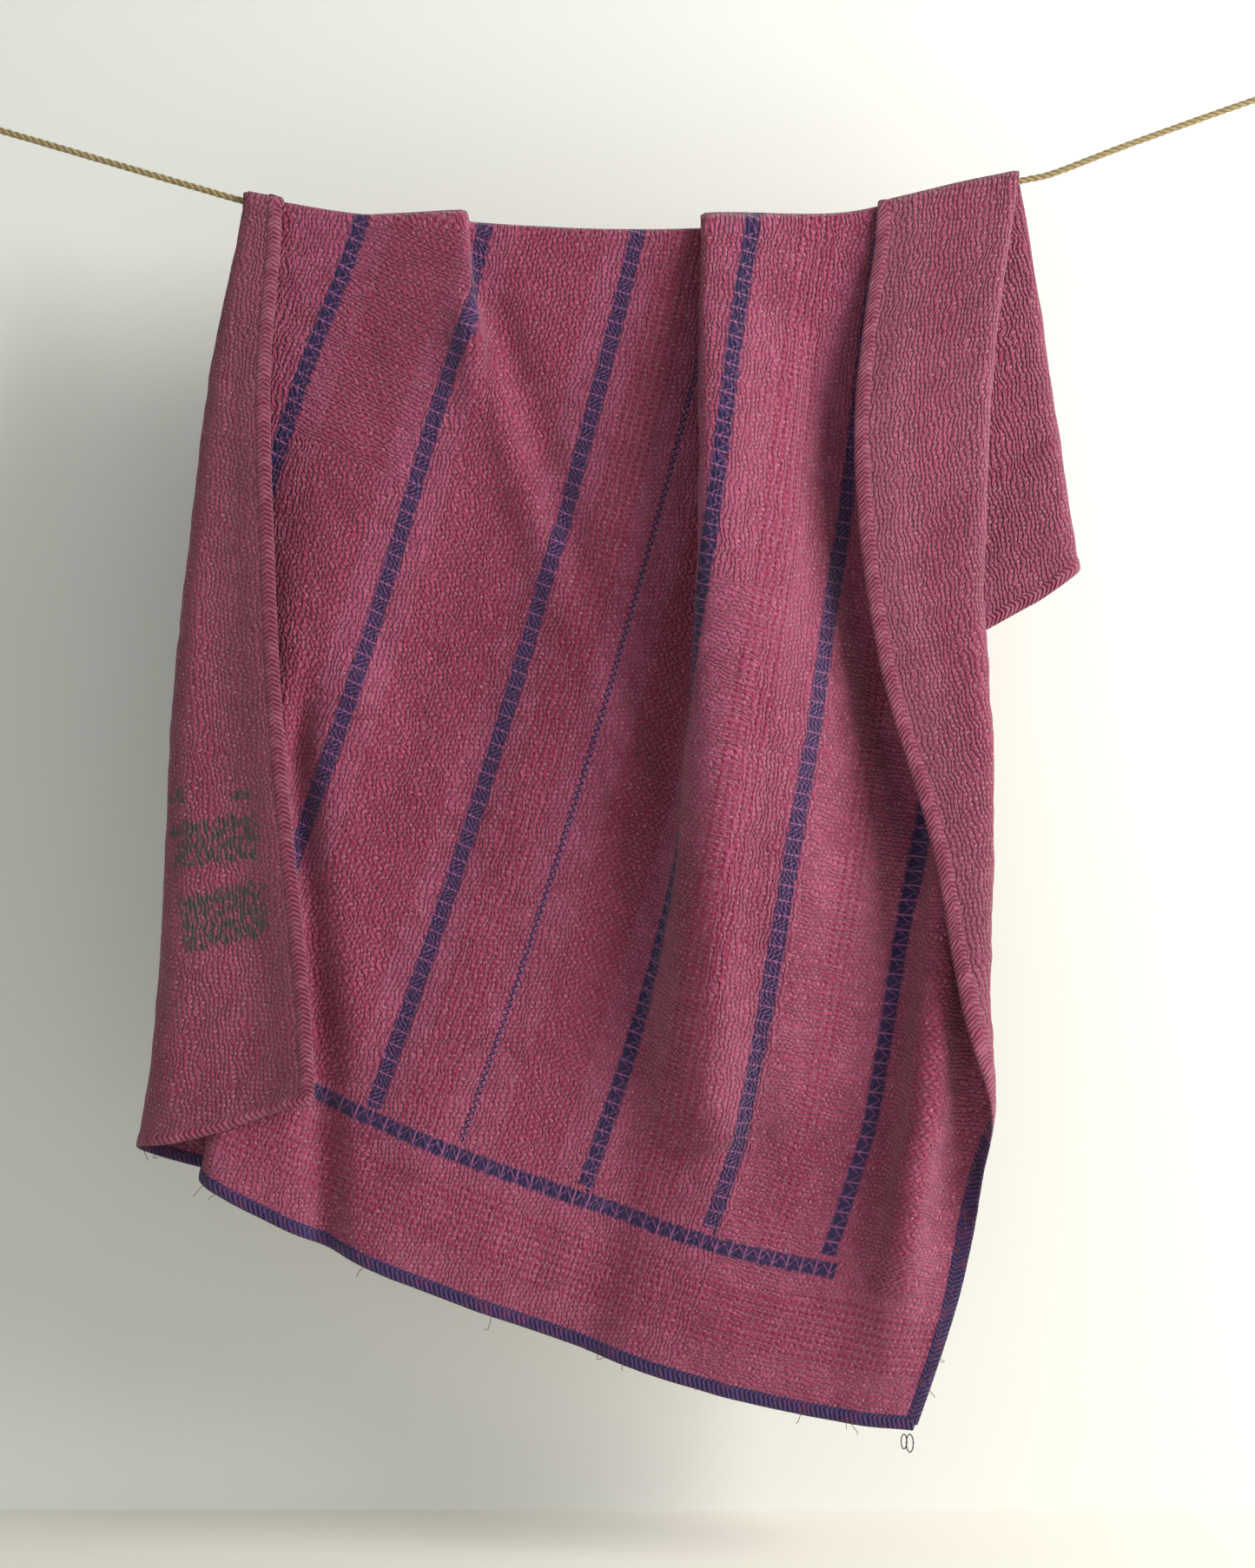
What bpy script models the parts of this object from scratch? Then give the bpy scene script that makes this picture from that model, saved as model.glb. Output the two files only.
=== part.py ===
"""A hand-stitched quilt hung askew over a taut rope between two wall eyes.

Metres, +Z up, the front of the quilt faces -Y. The origin is the middle of the
left wall plate's back face.
"""
import math

import bmesh
import bpy
import numpy as np
from mathutils import Matrix, Vector

# The quilt, laid flat.
QUILT_WIDTH = 1.260
QUILT_LENGTH = 1.990
CLOTH_THICKNESS = 0.0006
STITCH_GAP = 0.0003
BINDING_WIDTH = 0.007
BINDING_GAP = 0.0012
BINDING_THICKNESS = 0.0026

# The middles of the wall plates' back faces.
LEFT_PLATE = (0.0, 0.0)
RIGHT_PLATE = (1.875, 0.045)

# The rope, its reach from a bow's crown to its knot's inner end, and the route
# that its centre takes between the two knots.
ROPE_DIAMETER = 0.008
TIED_REACH = 0.0438
ROPE_WAY = [
    (0.179, -0.041), (0.316, -0.081), (0.416, -0.110), (0.454, -0.121),
    (0.494, -0.131), (0.599, -0.149), (0.735, -0.163),
    (0.851, -0.169), (0.956, -0.170), (1.066, -0.166), (1.150, -0.157),
    (1.229, -0.144), (1.334, -0.119), (1.418, -0.101), (1.455, -0.092),
    (1.544, -0.058), (1.696, -0.004),
]
ROPE_POINTS = 78
REST_RADIUS = 0.0062
FOLD_LIFT = 0.020

# How the quilt hangs: the turn of its hem, the point its front hem starts from,
# the bend of its length and the line its crest would take on a straight rope.
HEM_TURN = math.radians(17.3)
HEM_START = (0.395, -1.296)
MARGIN_START = 0.330
BEND_LINEAR = 0.050
BEND_SQUARE = 0.046
CREST_LEVEL = -0.133
CREST_SLOPE = 0.0295
STILL_LINE = 0.520
CORNER_DROOP = 0.036

# Where the front and the back swing from.
HINGE_LEVEL = -0.200
HINGE_DEPTH = 0.038
SPLIT_GAP = 0.002

# Wall eyes.
PLATE_SIZE = (0.004, 0.032, 0.080)
BOW_REACH = 0.034
BOW_HALF_HEIGHT = 0.015
BOW_ROD = 0.006
SCREW_RADIUS = 0.0022
SCREW_HEAD_RADIUS = 0.0042
SCREW_HEAD_HEIGHT = 0.0022
SCREW_OFFSET = 0.031
LOOP_RADIUS = 0.013
KNOT_LENGTH = 0.022
KNOT_RADIUS = 0.0085
TAIL_LENGTH = 0.045
CLEARANCE = 0.0003

# Grids: columns across the cloth and rows up each region.
COLUMNS = 29
LEAST_COLUMN = 0.004
FRONT_ROWS = 11
SADDLE_ROWS = 6
BACK_ROWS = 5
CREST_SPAN = 0.013

TABLE_STEP = 0.0025
TABLE_LEVEL_STEP = 0.010


def clearScene():
    for thing in list(bpy.data.objects):
        bpy.data.objects.remove(thing, do_unlink=True)


def makeMaterial(name, colour, roughness, metallic=0.0):
    material = bpy.data.materials.new(name)
    material.use_nodes = True
    shader = material.node_tree.nodes["Principled BSDF"]
    shader.inputs["Base Color"].default_value = (*colour, 1.0)
    shader.inputs["Roughness"].default_value = roughness
    shader.inputs["Metallic"].default_value = metallic
    return material


def smooth(u):
    u = np.clip(u, 0.0, 1.0)
    return u * u * (3.0 - 2.0 * u)


def step(u):
    """A smooth step centred on zero and one unit wide."""
    return smooth(u + 0.5)


def routeCurve(points, steps):
    """Catmull-Rom curve through (x, z) points, as an evenly sampled array."""
    ends = [points[0]] + list(points) + [points[-1]]
    p = np.array(ends)
    samples = []
    for i in range(1, len(p) - 2):
        for k in range(24):
            u = k / 24.0
            a = 2.0 * p[i]
            b = (p[i + 1] - p[i - 1]) * u
            c = (2.0 * p[i - 1] - 5.0 * p[i] + 4.0 * p[i + 1] - p[i + 2]) * u * u
            d = (3.0 * p[i] - p[i - 1] - 3.0 * p[i + 1] + p[i + 2]) * u ** 3
            samples.append(0.5 * (a + b + c + d))
    samples.append(p[-2])
    samples = np.array(samples)
    runs = np.linalg.norm(np.diff(samples, axis=0), axis=1)
    along = np.concatenate([[0.0], np.cumsum(runs)])
    even = np.linspace(0.0, along[-1], steps)
    return np.stack([np.interp(even, along, samples[:, 0]),
                     np.interp(even, along, samples[:, 1])], axis=1)


def crownOf(plate, inward):
    return np.array([plate[0] + inward * (BOW_REACH - BOW_ROD / 2), plate[1]])


def tiedRoute():
    """The rope's way with the two ends that its knots give it."""
    ends = []
    for plate, inward, near in ((LEFT_PLATE, 1, ROPE_WAY[0]), (RIGHT_PLATE, -1, ROPE_WAY[-1])):
        crown = crownOf(plate, inward)
        pull = np.array(near) - crown
        ends.append(tuple(crown + pull / np.linalg.norm(pull) * TIED_REACH))
    return [ends[0]] + ROPE_WAY + [ends[1]]


ROPE_ROUTE = tiedRoute()
ROPE_LINE = routeCurve(ROPE_ROUTE, 600)


def ropeLevel(x):
    return np.interp(x, ROPE_LINE[:, 0], ROPE_LINE[:, 1])


def toPlane(across, along):
    """A cloth point, on a flat upright plane, before folds gather it."""
    run = across - MARGIN_START + BEND_LINEAR * along - BEND_SQUARE * along * along
    x = HEM_START[0] + run * math.cos(HEM_TURN) + along * math.sin(HEM_TURN)
    z = HEM_START[1] - run * math.sin(HEM_TURN) + along * math.cos(HEM_TURN)
    return x, z


def fromPlane(x, z):
    dx = x - HEM_START[0]
    dz = z - HEM_START[1]
    along = dx * math.sin(HEM_TURN) + dz * math.cos(HEM_TURN)
    run = dx * math.cos(HEM_TURN) - dz * math.sin(HEM_TURN)
    return run + MARGIN_START - BEND_LINEAR * along + BEND_SQUARE * along * along, along


def openness(hang):
    """0 at the rope, where folds are pressed shut, to 1 at the lowest hem."""
    return np.sqrt(np.clip(np.abs(hang) / 1.17, 0.0, 1.0))


def leftRoll(along, hang):
    """Place and width of the turn that folds the left margin forward."""
    return 0.212 - 0.150 * along, 0.012 + 0.134 * openness(hang)


def rightRoll(along, hang):
    fold = 0.05 - 0.21 * smooth((along + 0.05) / 1.35) - 0.05 * np.maximum(along - 1.45, 0.0)
    return QUILT_WIDTH + fold, 0.012 + 0.078 * openness(hang)


def mainPleat(hang):
    """Place, width and turning width of the deep pleat, right part in front."""
    place = 0.688 + 0.13 * np.clip(hang, 0.0, 1.1)
    return place, 0.066, 0.012 + 0.058 * openness(hang)


def turning(across, along, hang):
    """Direction of the level section of the cloth, seen from above, in radians."""
    far = np.abs(hang)
    place, width = leftRoll(along, hang)
    angle = math.pi * (1.0 - step((across - place) / width))
    swell = math.radians(112) * smooth(far / 1.15) ** 2
    centre = place + width / 2 + 0.062
    angle -= swell * (step((across - centre + 0.026) / 0.05) - step((across - centre - 0.026) / 0.05))
    place, width = rightRoll(along, hang)
    angle -= math.pi * step((across - place) / width)
    margin = place
    place, width, turn = mainPleat(hang)
    opened = np.where(hang > 0, far, 0.4 * far)
    pleat = math.radians(168) * np.clip(1.0 - opened / 1.1, 0.0, 1.0) ** 0.62
    angle -= pleat * (step((across - place + width / 2) / turn)
                      - step((across - place - width / 2) / turn))
    soft = math.radians(75) * smooth((along - 0.01) / 0.3) * (1.0 - smooth((along - 0.43) / 0.5))
    centre = QUILT_WIDTH - 0.095 - 0.1 * (along - 0.3)
    angle -= soft * (step((across - centre + 0.04) / 0.06) - step((across - centre - 0.01) / 0.06))
    angle += 0.6 * soft * (step((across - centre - 0.01) / 0.06)
                           - step((across - centre - 0.06) / 0.06))
    slant = math.radians(100) * smooth(1.0 - far / 0.33)
    centre = 0.312 + 0.36 * np.clip(hang, 0.0, 0.4)
    angle += slant * (step((across - centre + 0.008) / 0.013)
                      - step((across - centre - 0.008) / 0.013))
    angle -= 0.133 * slant * (step((across - centre + 0.13) / 0.03)
                              - step((across - centre + 0.015) / 0.03))
    wave = math.radians(9) * smooth(far / 0.5)
    wave *= step((across - leftRoll(along, hang)[0] - 0.1) / 0.1)
    wave *= 1.0 - step((across - margin + 0.1) / 0.1)
    return angle + wave * np.sin((across - 0.33) / 0.052 + 0.8 * np.sin(along / 0.42))


class Drape:
    """Level sections of constant length, integrated once and then looked up."""

    def __init__(self):
        self.xs = np.arange(-0.30, 2.10, TABLE_STEP)
        self.zs = np.arange(-1.75, 1.10, TABLE_LEVEL_STEP)
        x, z = np.meshgrid(self.xs, self.zs)
        across, along = fromPlane(x, z)
        hang = CREST_LEVEL + CREST_SLOPE * x - z
        angle = turning(across, along, hang)
        sideways = np.cumsum(np.cos(angle), axis=1) * TABLE_STEP
        outward = -np.cumsum(np.sin(angle), axis=1) * TABLE_STEP
        rows = np.arange(len(self.zs))
        still = np.abs(across - STILL_LINE).argmin(axis=1)
        self.x = x[rows, still][:, None] + sideways - sideways[rows, still][:, None]
        self.out = self.level(across, along, hang, outward, rows)

    def level(self, across, along, hang, outward, rows):
        """Bring the cloth back near the rope's plane at both margins and by the pleat."""
        place, width = leftRoll(along, hang)
        left = place + width / 2 + 0.006
        place, width = rightRoll(along, hang)
        covered = np.maximum(QUILT_WIDTH - place, 0.0)
        right = np.minimum(place - width / 2 - 0.02 - covered, QUILT_WIDTH - 0.15)
        place, width, turn = mainPleat(hang)
        before = place - width / 2 - turn / 2
        after = place + width / 2 + turn / 2
        right = np.maximum(right, after + 0.08)
        depths = [outward[rows, np.abs(across - mark).argmin(axis=1)][:, None]
                  for mark in (left, before, after, right)]
        start = np.maximum(left, 0.04) + 0.12
        flat = outward - depths[0]
        flat -= (depths[1] - depths[0]) * smooth((across - start) / (before - start))
        flat -= (depths[3] - depths[1]) * smooth((across - after) / (right - after))
        far = np.abs(hang)
        return flat * (0.7 + 0.3 * smooth(far / 0.25)) + FOLD_LIFT * smooth(far / 0.4)

    def look(self, table, x, z):
        u = np.clip((x - self.xs[0]) / TABLE_STEP, 0, len(self.xs) - 1.001)
        v = np.clip((z - self.zs[0]) / TABLE_LEVEL_STEP, 0, len(self.zs) - 1.001)
        i = u.astype(int)
        j = v.astype(int)
        u = u - i
        v = v - j
        low = table[j, i] * (1 - u) + table[j, i + 1] * u
        high = table[j + 1, i] * (1 - u) + table[j + 1, i + 1] * u
        return low * (1 - v) + high * v

    def place(self, across, along):
        """World x, y, z of cloth points given by their flat coordinates."""
        x0, z0 = toPlane(across, along)
        x = self.look(self.x, x0, z0)
        reach = REST_RADIUS + 0.0015 + np.maximum(self.look(self.out, x0, z0), -0.0015)
        past = z0 - CREST_LEVEL - CREST_SLOPE * x0
        quarter = math.pi / 2
        round_ = np.clip(past / REST_RADIUS, -quarter, quarter)
        hang = np.maximum(0.0, np.abs(past) - REST_RADIUS * quarter)
        droop = smooth(across / 0.18) - smooth((across - 0.22) / 0.15)
        droop *= CORNER_DROOP * (1 - smooth(along / 0.6))
        z = ropeLevel(x) + reach * np.cos(round_) - hang - droop
        return x, reach * np.sin(round_), z


def columnMarks(along, hang):
    """Places across the cloth where it turns, from its left edge to its right."""
    left, leftWidth = leftRoll(along, hang)
    right, rightWidth = rightRoll(along, hang)
    pleat, width, turn = mainPleat(hang)
    slant = 0.312 + 0.36 * np.clip(hang, 0.0, 0.4)
    swell = left + leftWidth / 2 + 0.062
    marks = [left + share * leftWidth for share in (-0.5, -0.22, 0.0, 0.22, 0.5)]
    marks += [swell - 0.04, swell - 0.005, swell + 0.03]
    marks += [slant - 0.016, slant - 0.005, slant + 0.005, slant + 0.016]
    marks += [STILL_LINE + 0.0 * hang]
    for side in (-1, 1):
        marks += [pleat + side * width / 2 + share * turn for share in (-0.5, -0.2, 0.2, 0.5)]
    marks += [(pleat + right) / 2 + 0.03, right - 0.12]
    marks += [right + share * rightWidth for share in (-0.5, -0.2, 0.2, 0.5)]
    return marks


def clothColumns(along, guess):
    """Where each column of the cloth's grid lies, at its own height."""
    hang = hangAt(guess, along)
    columns = [0.0 * along] + columnMarks(along, hang) + [QUILT_WIDTH + 0.0 * along]
    for i in range(1, len(columns)):
        columns[i] = np.maximum(columns[i], columns[i - 1] + LEAST_COLUMN)
    columns[-1] = QUILT_WIDTH + 0.0 * along
    for i in range(len(columns) - 2, -1, -1):
        columns[i] = np.minimum(columns[i], columns[i + 1] - LEAST_COLUMN)
    return np.array([column[i] for i, column in enumerate(columns)])


def hangAt(across, along):
    x0, z0 = toPlane(across, along)
    return CREST_LEVEL + CREST_SLOPE * x0 - z0


def alongAtLevel(drape, across, level, front):
    """How far up the cloth it meets a level, on the front or on the back."""
    low = np.full(len(across), 0.5)
    high = np.full(len(across), 2.2)
    for _ in range(36):
        middle = (low + high) / 2
        before = hangAt(across, middle) > 0
        z = drape.place(across, middle)[2]
        if front:
            lower = before & (z < level)
        else:
            lower = before | (z > level)
        low = np.where(lower, middle, low)
        high = np.where(lower, high, middle)
    return (low + high) / 2


def crestAlong(across):
    low = np.full(len(across), 0.5)
    high = np.full(len(across), 2.2)
    for _ in range(36):
        middle = (low + high) / 2
        low = np.where(hangAt(across, middle) > 0, middle, low)
        high = np.where(hangAt(across, middle) > 0, high, middle)
    return (low + high) / 2


def rowAlong(drape, region, across, row, rows):
    """Height of one row of a region's grid at each of its columns."""
    gap = SPLIT_GAP / 2
    if region == "front_hem":
        return np.full(len(across), (-BINDING_WIDTH, -BINDING_GAP)[row])
    if region == "back_hem":
        return np.full(len(across), QUILT_LENGTH + (BINDING_GAP, BINDING_WIDTH)[row])
    if region == "front_drop":
        return alongAtLevel(drape, across, HINGE_LEVEL - gap, True) * row / rows
    if region == "back_drop":
        first = alongAtLevel(drape, across, HINGE_LEVEL - gap, False)
        return first + (QUILT_LENGTH - first) * row / rows
    if row == 0:
        return alongAtLevel(drape, across, HINGE_LEVEL + gap, True)
    if row == rows:
        return alongAtLevel(drape, across, HINGE_LEVEL + gap, False)
    return crestAlong(across) + (2.0 * row / rows - 1.0) * CREST_SPAN


def gridPoints(drape, region, rows, edge):
    """World points of a region's grid, row by row."""
    points = []
    for row in range(rows + 1):
        count = 2 if edge else COLUMNS
        along = np.full(count, {"front_drop": 0.5, "front_hem": 0.0, "back_drop": 1.8,
                                "back_hem": QUILT_LENGTH, "saddle": 1.3}[region])
        across = np.linspace(0.0, QUILT_WIDTH, count)
        for _ in range(8):
            if edge == "left":
                across = np.array([-BINDING_WIDTH, -BINDING_GAP])
            elif edge == "right":
                across = QUILT_WIDTH + np.array([BINDING_GAP, BINDING_WIDTH])
            else:
                across = clothColumns(along, across)
            along = rowAlong(drape, region, across, row, rows)
        points.append(np.stack(drape.place(across, along), axis=1))
    return points


def clothPiece(drape, name, region, rows, material, body, edge=None, offset=0.0,
               thickness=CLOTH_THICKNESS):
    """A sheet following the drape, lifted along its normals and given its thickness."""
    points = gridPoints(drape, region, rows, edge)
    columns = len(points[0]) - 1
    grid = bmesh.new()
    bmesh.ops.create_grid(grid, x_segments=columns, y_segments=rows, size=1.0)
    for vertex in grid.verts:
        i = round((vertex.co.x + 1.0) / 2.0 * columns)
        j = round((vertex.co.y + 1.0) / 2.0 * rows)
        vertex.co = points[j][i]
    grid.normal_update()
    lifted = [vertex.co + vertex.normal * offset for vertex in grid.verts]
    for vertex, place in zip(grid.verts, lifted):
        vertex.co = place
    cloth = addObject(name, grid, material, body)
    shell = cloth.modifiers.new("Thickness", "SOLIDIFY")
    shell.thickness = thickness
    shell.offset = 0.0
    return cloth


def addObject(name, shape, material, body):
    mesh = bpy.data.meshes.new(name)
    shape.to_mesh(mesh)
    shape.free()
    thing = bpy.data.objects.new(name, mesh)
    bpy.context.collection.objects.link(thing)
    thing.data.materials.append(material)
    hold(thing, body)
    return thing


def addBody(name, place, parent=None):
    """An empty on its joint's axis, which carries one moving body."""
    body = bpy.data.objects.new(name, None)
    bpy.context.collection.objects.link(body)
    body.location = place
    if parent is not None:
        hold(body, parent)
    return body


def tube(name, points, radius, material, body, sides=2, cyclic=False):
    curve = bpy.data.curves.new(name, "CURVE")
    curve.dimensions = "3D"
    spline = curve.splines.new("POLY")
    spline.points.add(len(points) - 1)
    for target, point in zip(spline.points, points):
        target.co = (*point, 1.0)
    spline.use_cyclic_u = cyclic
    curve.bevel_depth = radius
    curve.bevel_resolution = sides
    curve.use_fill_caps = True
    curve.materials.append(material)
    thing = bpy.data.objects.new(name, curve)
    bpy.context.collection.objects.link(thing)
    hold(thing, body)
    return thing


def hold(thing, body):
    """Parent a piece to its body without moving it."""
    thing.parent = body
    thing.matrix_parent_inverse = Matrix.Translation(-body.location)


def lathe(name, profile, steps, place, direction, material, body):
    """A solid turned from (along, radius) points that start and end on the axis."""
    shape = bmesh.new()
    points = [shape.verts.new((radius, 0.0, along)) for along, radius in profile]
    edges = [shape.edges.new(pair) for pair in zip(points, points[1:])]
    bmesh.ops.spin(shape, geom=points + edges, axis=(0, 0, 1), cent=(0, 0, 0),
                   steps=steps, angle=2 * math.pi, use_merge=True)
    bmesh.ops.remove_doubles(shape, verts=shape.verts, dist=1e-6)
    turn = Vector((0, 0, 1)).rotation_difference(Vector(direction)).to_matrix().to_4x4()
    bmesh.ops.transform(shape, matrix=Matrix.Translation(place) @ turn, verts=shape.verts)
    bmesh.ops.recalc_face_normals(shape, faces=shape.faces)
    return addObject(name, shape, material, body)


def boxShape(centre, size):
    shape = bmesh.new()
    bmesh.ops.create_cube(shape, size=1.0)
    bmesh.ops.scale(shape, vec=size, verts=shape.verts)
    bmesh.ops.translate(shape, vec=centre, verts=shape.verts)
    return shape


def wallPlate(side, place, inward, steel, body):
    """Plate with two clearance holes; its back face lies against the wall."""
    centre = place + Vector((inward * PLATE_SIZE[0] / 2, 0, 0))
    plate = addObject(side + "_plate", boxShape(centre, PLATE_SIZE), steel, body)
    for offset in (-SCREW_OFFSET, SCREW_OFFSET):
        hole = bmesh.new()
        turn = Matrix.Rotation(math.pi / 2, 4, "Y")
        where = Matrix.Translation(centre + Vector((0, 0, offset)))
        bmesh.ops.create_cone(hole, cap_ends=True, segments=24, radius1=SCREW_RADIUS + CLEARANCE,
                              radius2=SCREW_RADIUS + CLEARANCE, depth=4 * PLATE_SIZE[0],
                              matrix=where @ turn)
        cutter = addObject(side + "_hole", hole, steel, body)
        cutter.hide_render = True
        cutter.display_type = "WIRE"
        cut = plate.modifiers.new("Hole", "BOOLEAN")
        cut.operation = "DIFFERENCE"
        cut.solver = "EXACT"
        cut.object = cutter
    edge = plate.modifiers.new("Edges", "BEVEL")
    edge.width = 0.0004
    edge.segments = 1
    edge.limit_method = "ANGLE"
    edge.angle_limit = math.radians(60)
    return plate


def plateScrew(name, place, inward, steel, body):
    """Pan-head screw, cut off just short of the wall's face."""
    shank = PLATE_SIZE[0] - CLEARANCE
    head = SCREW_HEAD_HEIGHT
    profile = [(-shank, 0.0), (-shank, SCREW_RADIUS), (CLEARANCE, SCREW_RADIUS),
               (CLEARANCE, SCREW_HEAD_RADIUS), (head * 0.55, SCREW_HEAD_RADIUS),
               (head * 0.9, SCREW_HEAD_RADIUS * 0.75), (head, SCREW_HEAD_RADIUS * 0.4), (head, 0.0)]
    lathe(name, profile, 16, place + Vector((inward * PLATE_SIZE[0], 0, 0)),
          (inward, 0, 0), steel, body)


def wallBow(side, place, inward, steel, body):
    """A bent rod welded to the plate; the rope is tied round its crown."""
    straight = BOW_REACH - BOW_HALF_HEIGHT - BOW_ROD / 2
    root = PLATE_SIZE[0] + CLEARANCE
    route = [Vector((root, 0, BOW_HALF_HEIGHT)), Vector((root + 0.006, 0, BOW_HALF_HEIGHT))]
    for k in range(13):
        angle = math.pi / 2 - math.pi * k / 12
        route.append(Vector((straight + BOW_HALF_HEIGHT * math.cos(angle), 0,
                             BOW_HALF_HEIGHT * math.sin(angle))))
    route += [Vector((root + 0.006, 0, -BOW_HALF_HEIGHT)), Vector((root, 0, -BOW_HALF_HEIGHT))]
    points = [place + Vector((inward * p.x, p.y, p.z)) for p in route]
    tube(side + "_bow", points, BOW_ROD / 2, steel, body)


def tiedEnd(side, ropeEnd, pull, jute, body):
    """Loop round the crown, wrapped knot and the short tail of the rope."""
    radius = ROPE_DIAMETER / 2 - 0.0001
    knotCentre = ropeEnd - pull * (KNOT_LENGTH / 2 + CLEARANCE)
    loopCentre = ropeEnd - pull * (KNOT_LENGTH + 2 * CLEARANCE + LOOP_RADIUS + radius)
    sideways = Vector((0, 1, 0))
    ring = []
    for k in range(20):
        angle = 2 * math.pi * k / 20
        ring.append(loopCentre + LOOP_RADIUS * (math.cos(angle) * pull + math.sin(angle) * sideways))
    tube(side + "_loop", ring, radius, jute, body, cyclic=True)
    profile = []
    for k in range(9):
        angle = math.pi * k / 8
        profile.append((-KNOT_LENGTH / 2 * math.cos(angle), KNOT_RADIUS * math.sin(angle) ** 0.6
                        if 0 < k < 8 else 0.0))
    lathe(side + "_knot", profile, 12, knotCentre, pull, jute, body)
    start = knotCentre + Vector((0, 0, -KNOT_RADIUS * 1.12 - CLEARANCE))
    tail = [start + Vector((0.004 * pull.x * (k / 5) ** 2, 0.003 * math.sin(k / 5 * math.pi),
                            -TAIL_LENGTH * k / 5)) for k in range(6)]
    tube(side + "_tail", tail, radius, jute, body)


def wallEye(side, plate, inward, ropeEnd, steel, jute, body):
    place = Vector((plate[0], 0, plate[1]))
    crown = place + Vector((inward * (BOW_REACH - BOW_ROD / 2), 0, 0))
    pull = (ropeEnd - crown).normalized()
    wallPlate(side, place, inward, steel, body)
    wallBow(side, place, inward, steel, body)
    for label, offset in (("upper", SCREW_OFFSET), ("lower", -SCREW_OFFSET)):
        plateScrew(side + "_screw_" + label, place + Vector((0, 0, offset)), inward, steel, body)
    tiedEnd(side, ropeEnd, pull, jute, body)


def cornerLoop(drape, material, body):
    """Loose thread loop at the lower right corner of the front."""
    x, y, z = drape.place(np.array([QUILT_WIDTH]), np.array([-BINDING_WIDTH - 0.002]))
    corner = Vector((x[0], y[0], z[0]))
    points = []
    for k in range(12):
        angle = 2 * math.pi * k / 12
        points.append(corner + Vector((0.004 * math.sin(angle), 0.001 * math.cos(angle),
                                       -0.011 + 0.010 * math.cos(angle))))
    tube("corner_loop", points, 0.0008, material, body, cyclic=True)


def build():
    clearScene()
    face = makeMaterial("face_cotton", (0.45, 0.08, 0.14), 0.9)
    inner = makeMaterial("inner_cotton", (0.62, 0.45, 0.40), 0.95)
    reverse = makeMaterial("reverse_cotton", (0.40, 0.09, 0.16), 0.9)
    purple = makeMaterial("binding_cotton", (0.07, 0.02, 0.14), 0.9)
    jute = makeMaterial("jute", (0.38, 0.30, 0.16), 0.95)
    steel = makeMaterial("galvanised_steel", (0.55, 0.56, 0.57), 0.45, 0.9)

    drape = Drape()
    line = addBody("line_body", (0, 0, 0))
    middle = ROPE_LINE[len(ROPE_LINE) // 2]
    saddle = addBody("saddle_body", (middle[0], 0, middle[1]), line)
    front = addBody("front_body", (middle[0], -HINGE_DEPTH, HINGE_LEVEL), saddle)
    back = addBody("back_body", (middle[0], HINGE_DEPTH, HINGE_LEVEL), saddle)

    route = routeCurve(ROPE_ROUTE, ROPE_POINTS)
    points = [Vector((x, 0, z)) for x, z in route]
    tube("rope", points, ROPE_DIAMETER / 2 - 0.0001, jute, line)
    wallEye("left", LEFT_PLATE, 1, points[0], steel, jute, line)
    wallEye("right", RIGHT_PLATE, -1, points[-1], steel, jute, line)

    lift = CLOTH_THICKNESS + STITCH_GAP
    for region, label, rows, body in (("front_drop", "front", FRONT_ROWS, front),
                                      ("saddle", "saddle", SADDLE_ROWS, saddle),
                                      ("back_drop", "back", BACK_ROWS, back)):
        clothPiece(drape, label + "_face_cloth", region, rows, face, body, offset=lift)
        clothPiece(drape, label + "_inner_cloth", region, rows, inner, body)
        clothPiece(drape, label + "_reverse_cloth", region, rows, reverse, body, offset=-lift)
        for edge in ("left", "right"):
            clothPiece(drape, label + "_" + edge + "_binding", region, rows, purple, body,
                       edge=edge, thickness=BINDING_THICKNESS)
    clothPiece(drape, "front_hem_binding", "front_hem", 1, purple, front,
               thickness=BINDING_THICKNESS)
    clothPiece(drape, "back_hem_binding", "back_hem", 1, purple, back,
               thickness=BINDING_THICKNESS)
    cornerLoop(drape, purple, front)


build()
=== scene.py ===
# A hand-stitched cotton quilt hung askew over a taut jute rope tied between two wall eyes.
# Everything is in metres in the part's own frame: +Z is up and the quilt's front faces -Y.
import math
from functools import partial

import bmesh
import bpy
import numpy as np
from mathutils import Matrix, Vector


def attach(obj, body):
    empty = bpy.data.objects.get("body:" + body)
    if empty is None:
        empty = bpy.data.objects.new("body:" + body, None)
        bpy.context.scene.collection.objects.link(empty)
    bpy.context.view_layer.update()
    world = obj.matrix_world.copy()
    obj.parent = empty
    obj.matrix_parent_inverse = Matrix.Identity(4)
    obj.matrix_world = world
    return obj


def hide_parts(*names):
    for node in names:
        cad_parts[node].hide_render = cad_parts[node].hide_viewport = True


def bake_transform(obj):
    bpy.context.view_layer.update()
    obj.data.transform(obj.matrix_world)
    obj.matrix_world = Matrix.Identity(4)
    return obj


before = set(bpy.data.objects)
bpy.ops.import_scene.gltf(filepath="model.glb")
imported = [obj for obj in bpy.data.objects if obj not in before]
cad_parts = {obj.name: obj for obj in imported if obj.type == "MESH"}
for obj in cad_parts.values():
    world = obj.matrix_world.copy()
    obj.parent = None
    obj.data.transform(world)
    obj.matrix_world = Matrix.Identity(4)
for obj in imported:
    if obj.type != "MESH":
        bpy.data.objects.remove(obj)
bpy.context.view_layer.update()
print("frame loaded", len(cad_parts), "nodes")


# Small tools that every piece uses.

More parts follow.
